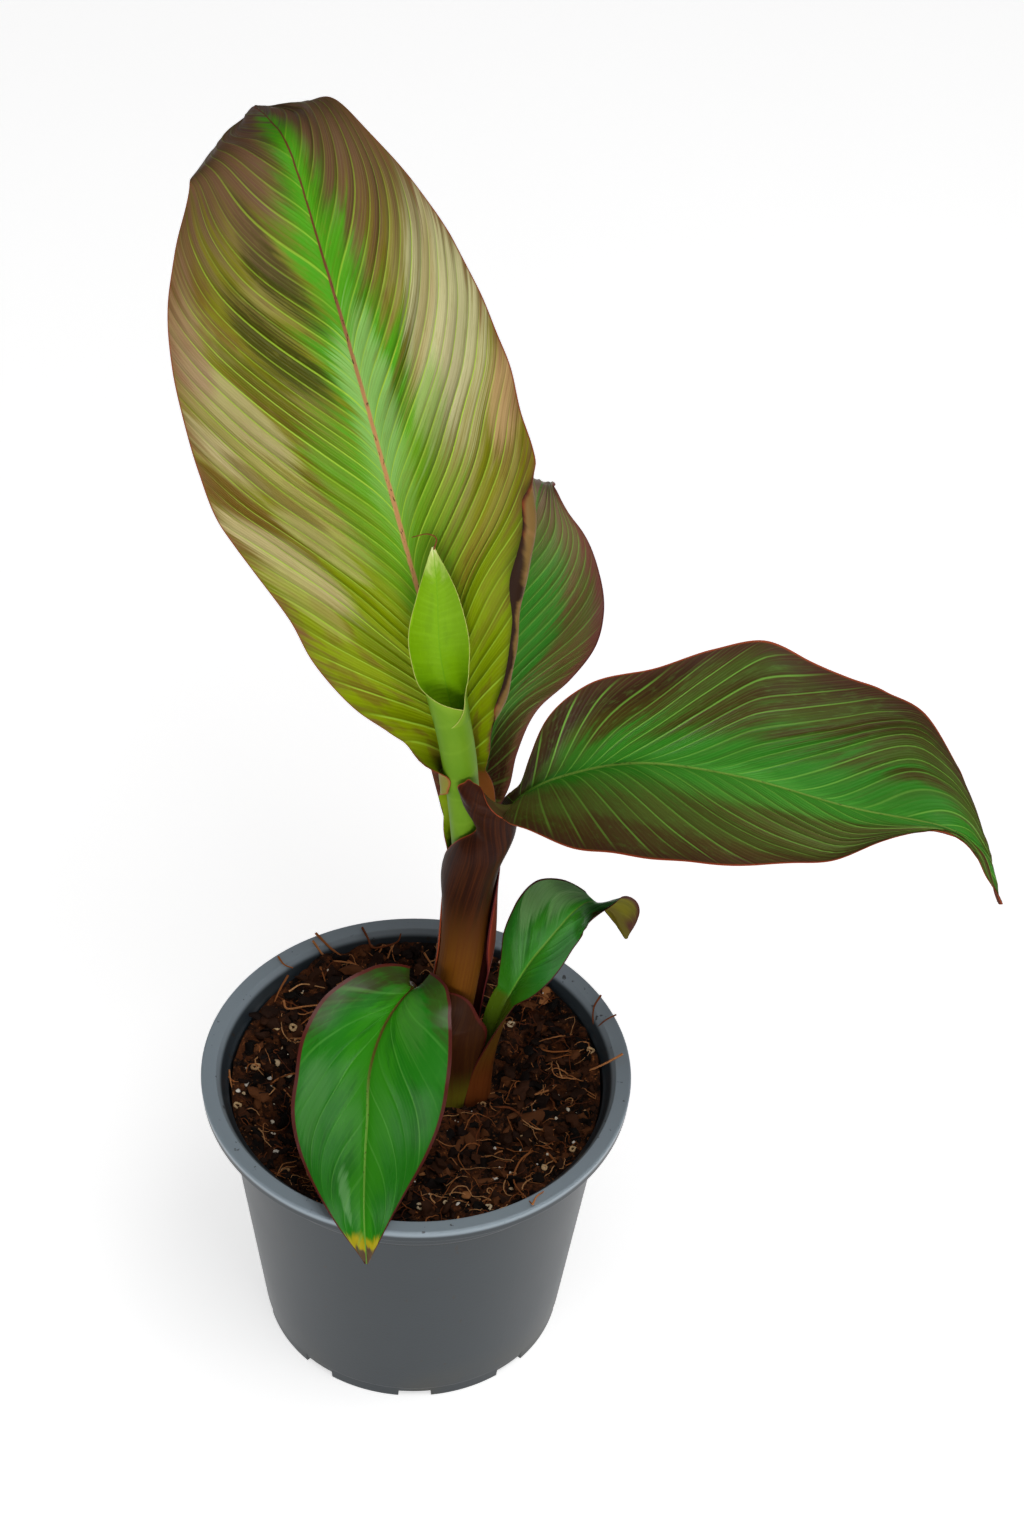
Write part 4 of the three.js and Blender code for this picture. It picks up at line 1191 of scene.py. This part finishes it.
def make_soil(clods):
    """Surface of the potting mix, closed by a skirt and a floor inside the pot, and its heights."""
    rings = int(SOIL_RADIUS / SOIL_STEP)
    segments = int(2 * np.pi * SOIL_RADIUS / SOIL_STEP)
    radius = np.linspace(1, SOIL_RADIUS, rings)[:, None]
    angle = np.arange(segments)[None, :] * 2 * np.pi / segments
    x, y = radius * np.cos(angle), radius * np.sin(angle)
    heights = soil_height(x, y, clods)
    top = np.stack([x, y, heights], -1)
    low = top[-1].copy()
    low[:, :2] *= (wall_radius(SOIL_DEPTH) - WALL - 0.5) / SOIL_RADIUS
    low[:, 2] = SOIL_DEPTH
    points = np.concatenate([top.reshape(-1, 3), low])
    faces = ring_faces(rings + 1, segments, inside_out=True)
    return mesh_object("soil_surface", points, faces, [soil_finish()], sharp=180), heights


def surface_level(x, y, heights):
    """Height of the mix at places, read from the nearest point of its surface."""
    rings, segments = heights.shape
    ring = np.clip(np.round((np.hypot(x, y) - 1) / (SOIL_RADIUS - 1) * (rings - 1)), 0, rings - 1)
    segment = np.round(np.arctan2(y, x) / (2 * np.pi) * segments)
    return heights[ring.astype(int), segment.astype(int) % segments]


def lump_shape():
    """Points and faces of a small round lump of radius 1."""
    lump = bmesh.new()
    bmesh.ops.create_icosphere(lump, subdivisions=2, radius=1)
    points = np.array([v.co for v in lump.verts])
    faces = np.array([[v.index for v in f.verts] for f in lump.faces])
    lump.free()
    return points, faces


def random_turn(rng, lean, axis):
    """A full turn about the vertical and a lean about another axis, for rows of points."""
    about = Matrix.Rotation(rng.uniform(0, 2 * np.pi), 3, "Z")
    return np.array(about @ Matrix.Rotation(rng.normal(0, lean), 3, axis)).T


def rough_lump(rng, shape, size, flat, rough):
    """A lump of a given radius with a broken surface, turned at random."""
    points = shape.copy()
    for _ in range(5):
        way = unit(rng.normal(size=3))
        points *= 1 + rough * np.sin(rng.uniform(2, 5) * (shape @ way) + rng.uniform(0, 6))[:, None]
    points *= size * rng.uniform([0.7, 0.6, flat * 0.7], [1.25, 1, flat])
    return points @ random_turn(rng, 0.4, "X")


def tube(path, widths, sides=6):
    """Points and faces of a closed tube along a path, with a width at each point."""
    along = unit(np.gradient(path, axis=0))
    side = unit(np.cross(along, TUBE_AXIS))
    other = np.cross(along, side)
    angle = np.arange(sides) * 2 * np.pi / sides
    ring = np.cos(angle)[None, :, None] * side[:, None] + np.sin(angle)[None, :, None] * other[:, None]
    points = (path[:, None] + ring * np.asarray(widths)[:, None, None] / 2).reshape(-1, 3)
    return points, ring_faces(len(path), sides)


def joined(name, chunks, colours):
    """One object from chunks of (points, faces, colour number), with a plain finish for each colour."""
    points, faces, numbers = [], [], []
    count = 0
    for chunk, chunk_faces, number in chunks:
        points.append(chunk)
        faces.extend([[i + count for i in f] for f in chunk_faces])
        numbers.extend([number] * len(chunk_faces))
        count += len(chunk)
    finishes = [grain(f"{name}_{i}", colour) for i, colour in enumerate(colours)]
    return mesh_object(name, np.concatenate(points), faces, finishes, numbers)


def free_places(rng, count, low=0.0, high=SOIL_RADIUS - 3):
    """Random places on the mix, clear of the stem's foot, each drawn when it is asked for."""
    while count > 0:
        spread = np.sqrt(rng.uniform((low / high) ** 2, 1)) * high
        angle = rng.uniform(0, 2 * np.pi)
        place = np.array([spread * np.cos(angle), spread * np.sin(angle)])
        if np.hypot(*(place - STEM_FOOT[:2])) > STEM_CLEAR:
            count -= 1
            yield place


def scatter(name, rng, colours, places, make):
    """One object of the small things that make returns for places, each in one of the colours."""
    chunks = []
    for x, y in places:
        points, faces = make(x, y)
        chunks.append((points, faces, int(rng.integers(len(colours)))))
    return joined(name, chunks, colours)


def scatter_lumps(name, rng, heights, count, sizes, colours, flat=0.75, rough=0.3, sunk=0.25):
    """Lumps that lie on the mix."""
    shape, faces = lump_shape()
    small, large = sizes

    def lump(x, y):
        size = small * (large / small) ** (rng.uniform() ** 2)
        points = rough_lump(rng, shape, size, flat, rough)
        return points + [x, y, surface_level(x, y, heights) + size * flat * (0.5 - sunk)], faces

    return scatter(name, rng, colours, free_places(rng, count), lump)


def scatter_chips(name, rng, heights, count, colours):
    """Flat, bent chips of bark."""
    shape, faces = lump_shape()

    def chip(x, y):
        size = np.array([rng.uniform(*span) for span in CHIP_SIZES])
        points = np.sign(shape) * np.abs(shape) ** 0.6 * size
        points[:, 2] += 0.05 * points[:, 0] ** 2 * rng.uniform(-1, 1)
        points = points @ random_turn(rng, 0.35, "Y")
        return points + [x, y, surface_level(x, y, heights) + 0.6], faces

    return scatter(name, rng, colours, free_places(rng, count), chip)


def scatter_rings(name, rng, heights, places, count, colours):
    """Broken hollow grains of perlite, some at given places: small thick rings with a dark middle."""
    angle = np.linspace(0, 2 * np.pi, RING_POINTS)

    def ring(middle_x, middle_y):
        size = rng.uniform(*RING_SIZES)
        wobble = size * (1 + 0.14 * np.sin(2 * angle + rng.uniform(0, 6)) + 0.08 * np.sin(3 * angle))
        level = surface_level(middle_x, middle_y, heights) + 0.6 * size
        lean = rng.normal(0, 0.2, 2)
        x, y = wobble * np.cos(angle), wobble * np.sin(angle)
        path = np.stack([middle_x + x, middle_y + y, level + lean[0] * x + lean[1] * y], -1)
        return tube(path, 0.85 * size * (1 + 0.2 * np.sin(4 * angle)), 8)

    return scatter(name, rng, colours, [*places, *free_places(rng, count, low=30)], ring)


def fibre_path(rng, heights, start, length, lift):
    """A fibre that lies over the mix from a start, bends as it goes and arches a little off it."""
    steps = FIBRE_STEPS
    limit = SOIL_RADIUS - 2
    heading = rng.uniform(0, 2 * np.pi)
    bend = rng.normal(0, FIBRE_WANDER)
    place = np.array(start, float)
    path = [place]
    for _ in range(steps - 1):
        heading += bend / steps + rng.normal(0, FIBRE_WANDER / steps)
        place = place + length / steps * np.array([np.cos(heading), np.sin(heading)])
        if np.hypot(*place) > limit:
            heading += np.pi / 2
            place = place * limit / np.hypot(*place)
        path.append(place)
    path = np.array(path)
    level = surface_level(path[:, 0], path[:, 1], heights)
    level = np.maximum(level, np.convolve(np.pad(level, 1, "edge"), np.ones(3) / 3, "valid"))
    arch = lift * np.sin(np.pi * np.linspace(0.05, 1, steps)) * rng.uniform(0.2, 1)
    return np.column_stack([path, level + 0.2 + arch])


def scatter_fibres(name, rng, heights, count, length, width, colours, lift):
    """Fibres of coir and fine roots over the mix."""

    def fibre(x, y):
        path = fibre_path(rng, heights, (x, y), rng.uniform(*length), lift)
        return tube(path, rng.uniform(*width) * np.linspace(1, 0.45, FIBRE_STEPS), 5)

    return scatter(name, rng, colours, free_places(rng, count), fibre)


def make_threads(name, threads, colours):
    """Loose roots and dry threads, each a path of points with a width and a colour number."""
    chunks = []
    for path, width, colour in threads:
        steps = THREAD_STEPS * (len(path) - 1) + 1
        line = smooth(path, np.linspace(0, 1, steps))
        chunks.append((*tube(line, width * np.linspace(1, 0.5, steps)), colour))
    return joined(name, chunks, colours)


# Loose roots on the mix and over the rim: a path, a width and the number of a fibre colour.
LOOSE_ROOTS = [
    ([[-50, 81, 146], [-42, 73, 144], [-33, 68, 141], [-27, 66, 140]], 1.3, 0),
    ([[-51, 76, 146], [-44, 68, 143], [-35, 67, 142], [-29, 67, 140]], 1.1, 2),
    ([[-29, 86, 146], [-26, 81, 144], [-23, 76, 143], [-13, 79, 144], [-11, 83, 146]], 1.2, 1),
    ([[-48, 65, 143], [-46, 61, 142], [-44, 57, 139]], 1.1, 0),
    ([[-61, 57, 142], [-64, 48, 142], [-66, 42, 140]], 1.1, 0),
    ([[-60, 49, 140], [-54, 53, 141], [-44, 54, 138]], 0.9, 4),
    ([[-62, 44, 139], [-60, 40, 138], [-52, 43, 137], [-41, 47, 135]], 1.2, 2),
    ([[-66, 65, 146], [-63, 61, 145], [-59, 61, 143]], 1.0, 0),
    ([[-83, 1, 138], [-82, -5, 138], [-80, -12, 136]], 0.9, 2),
    ([[-83, -3, 138], [-80, -5, 137], [-75, -2, 135]], 0.9, 0),
    ([[-67, -6, 132], [-62, 2, 132], [-54, 8, 130], [-51, 4, 129]], 1.1, 0),
    ([[81, 45, 150], [78, 41, 146], [78, 36, 141], [80, 32, 140]], 1.0, 1),
    ([[88, 36, 147], [83, 33, 146], [79, 33, 140]], 0.9, 1),
    ([[91, 12, 147], [84, 9, 144], [77, 10, 138], [69, 11, 134]], 1.2, 2),
    ([[53, 27, 133], [60, 23, 135], [74, 22, 138]], 0.9, 0),
    ([[59, 3, 131], [52, 0, 131], [44, 2, 129]], 0.9, 2),
    ([[33, -6, 128], [43, -8, 130], [52, -17, 128]], 1.2, 1),
    ([[53, -30, 128], [47, -40, 131], [45, -53, 132], [53, -78, 147]], 1.1, 0),
    ([[53, -78, 147], [56, -71, 146], [68, -53, 134]], 0.9, 2),
    ([[59, -33, 130], [65, -43, 133], [70, -42, 134]], 1.0, 0),
    ([[0, 75, 142], [3, 70, 141], [6, 67, 138]], 1.1, 2),
]
# The grains of perlite that show most, and the dry thread on the tip of the spear.
PERLITE_PLACES = [
    (16, -63), (34, -65), (70, -32), (77, 21), (41, 38), (30, -3), (-72, 8), (-48, 60), (-57, 32),
    (76, -11), (-78, -16), (48, -22), (58, -41), (5, -67),
]
DRY_THREADS = [([[2.4, 26.6, 417], [3.2, 26, 423], [-0.5, 26, 425], [-6.5, 26, 423]], 0.7, 0)]


# Stem


def make_stem():
    """Core of the stem inside the outer sheaths, with the ridges of the sheaths wrapped in it."""
    heights = np.linspace(0, 1, STEM_ROWS)[:, None]
    angles = np.arange(STEM_SIDES) * 2 * np.pi / STEM_SIDES
    axis = STEM_FOOT + heights * (STEM_HEAD - STEM_FOOT)
    radius = STEM_CORE_RADIUS * (1 - 0.12 * heights)
    radius = radius + 0.35 * np.sin(5 * angles + 2 * heights) + 0.12 * np.sin(31 * angles)
    ring = np.stack([radius * np.cos(angles), radius * np.sin(angles), np.zeros_like(radius)], -1)
    points = (axis[:, None] + ring).reshape(-1, 3)
    return mesh_object("stem_core", points, ring_faces(STEM_ROWS, STEM_SIDES), [stem_finish()])


# Studio


def make_floor():
    """A wide pale floor under the pot."""
    sides = ((-1, -1), (1, -1), (1, 1), (-1, 1))
    corners = [(FLOOR_HALF * x, FLOOR_HALF * y, FLOOR_DROP) for x, y in sides]
    floor = mesh_object("studio_floor", corners, [(0, 1, 2, 3)], [floor_finish()])
    floor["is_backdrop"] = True


def area_light(name, place, target, size, power, spread=180):
    """A soft rectangular light in metres and watts, unseen by the camera."""
    data = bpy.data.lights.new(name, "AREA")
    data.shape = "RECTANGLE"
    data.size, data.size_y = size
    data.energy = power
    data.spread = math.radians(spread)
    made = bpy.data.objects.new(name, data)
    bpy.context.scene.collection.objects.link(made)
    made.location = place
    made.rotation_euler = (Vector(target) - Vector(place)).to_track_quat("-Z", "Y").to_euler()
    made.visible_camera = False


def make_lights():
    """A white world, a large light above, a narrow one on the tall leaf and a soft one at the right."""
    scene = bpy.context.scene
    scene.world = bpy.data.worlds.new("studio")
    scene.world.use_nodes = True
    backdrop = scene.world.node_tree.nodes["Background"]
    backdrop.inputs["Color"].default_value = linear(WHITE)
    backdrop.inputs["Strength"].default_value = WORLD_STRENGTH
    area_light("key_light", (0.45, -0.6, 1.9), (0, 0, 0.2), (1.1, 1.1), KEY_POWER)
    area_light("front_light", (0.1, -1.4, 0.5), (-0.05, 0.1, 0.46), (0.9, 0.4), FRONT_POWER, 50)
    area_light("side_light", (1.4, 0.2, 0.9), (0, 0, 0.25), (0.7, 0.9), SIDE_POWER)


def make_camera():
    """The camera of the photograph."""
    scene = bpy.context.scene
    data = bpy.data.cameras.new("photo_camera")
    data.sensor_width = CAMERA_SENSOR
    data.lens = CAMERA_LENS
    data.clip_end = 20
    camera = bpy.data.objects.new("photo_camera", data)
    scene.collection.objects.link(camera)
    look = Matrix.Rotation(math.radians(90 - CAMERA_PITCH), 4, "X")
    roll = Matrix.Rotation(math.radians(-CAMERA_ROLL), 4, "Z")
    camera.matrix_world = Matrix.Translation(Vector(CAMERA_PLACE) * MM) @ look @ roll
    scene.camera = camera


# The plant

rng = np.random.default_rng(SEED)
keep(make_pot(), "pot", "pot")
clods = make_clods(rng)
soil, heights = make_soil(clods)
keep(soil, "soil", "soil")
on_soil = [
    scatter_lumps("soil_crumbs", rng, heights, count=2300, sizes=(0.6, 3.6), colours=CRUMB_COLOURS),
    scatter_chips("soil_bark", rng, heights, count=55, colours=BARK_COLOURS),
    scatter_fibres(
        "soil_fibres", rng, heights, count=420, length=(6, 26), width=(0.3, 0.8),
        colours=FIBRE_COLOURS, lift=3,
    ),
    scatter_lumps(
        "soil_perlite", rng, heights, count=150, sizes=(0.4, 1.8), colours=PERLITE_COLOURS,
        flat=0.85, rough=0.12, sunk=0.1,
    ),
    scatter_rings("soil_perlite_rings", rng, heights, PERLITE_PLACES, count=8, colours=RING_COLOURS),
    make_threads("loose_roots", LOOSE_ROOTS, FIBRE_COLOURS),
]
for piece in on_soil:
    keep(piece, "soil")
keep(make_stem(), "stem", "stem")

LOW_NODES = ["low_right_leaf_stalk", "low_right_leaf", "low_right_leaf_tip"]
# Name, shape, look, slot and the nodes that the leaf stands for.
LEAVES = [
    ("front_leaf", FRONT_LEAF, FRONT_LOOK, "leaf", ["front_leaf_stalk", "front_leaf"]),
    ("low_leaf", LOW_LEAF, LOW_LOOK, "leaf", LOW_NODES),
    ("back_leaf", BACK_LEAF, BACK_LOOK, "leaf", ["back_leaf_stalk", "back_leaf"]),
    ("right_leaf", RIGHT_LEAF, RIGHT_LOOK, "leaf", ["right_leaf_stalk", "right_leaf"]),
    ("tall_leaf", TALL_LEAF, TALL_LOOK, "leaf", ["tall_leaf_stalk", "tall_leaf"]),
    ("spear_leaf", SPEAR_LEAF, SPEAR_LOOK, "young_leaf", ["spear_leaf"]),
]
for name, leaf, look, slot, nodes in LEAVES:
    finishes = [leaf_upper(name + "_upper", look), leaf_lower(name + "_lower", look)]
    keep(leaf_piece("whole_" + name, leaf, finishes), slot, *nodes)

keep(make_threads("dry_threads", DRY_THREADS, DRY_COLOURS), "leaf")

make_floor()
make_lights()
make_camera()
bpy.context.scene.view_settings.view_transform = "Standard"

boxes = {"cad": CAD_BOX, "visual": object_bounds()}
{name: [[float(x) for x in corner] for corner in box] for name, box in boxes.items()}
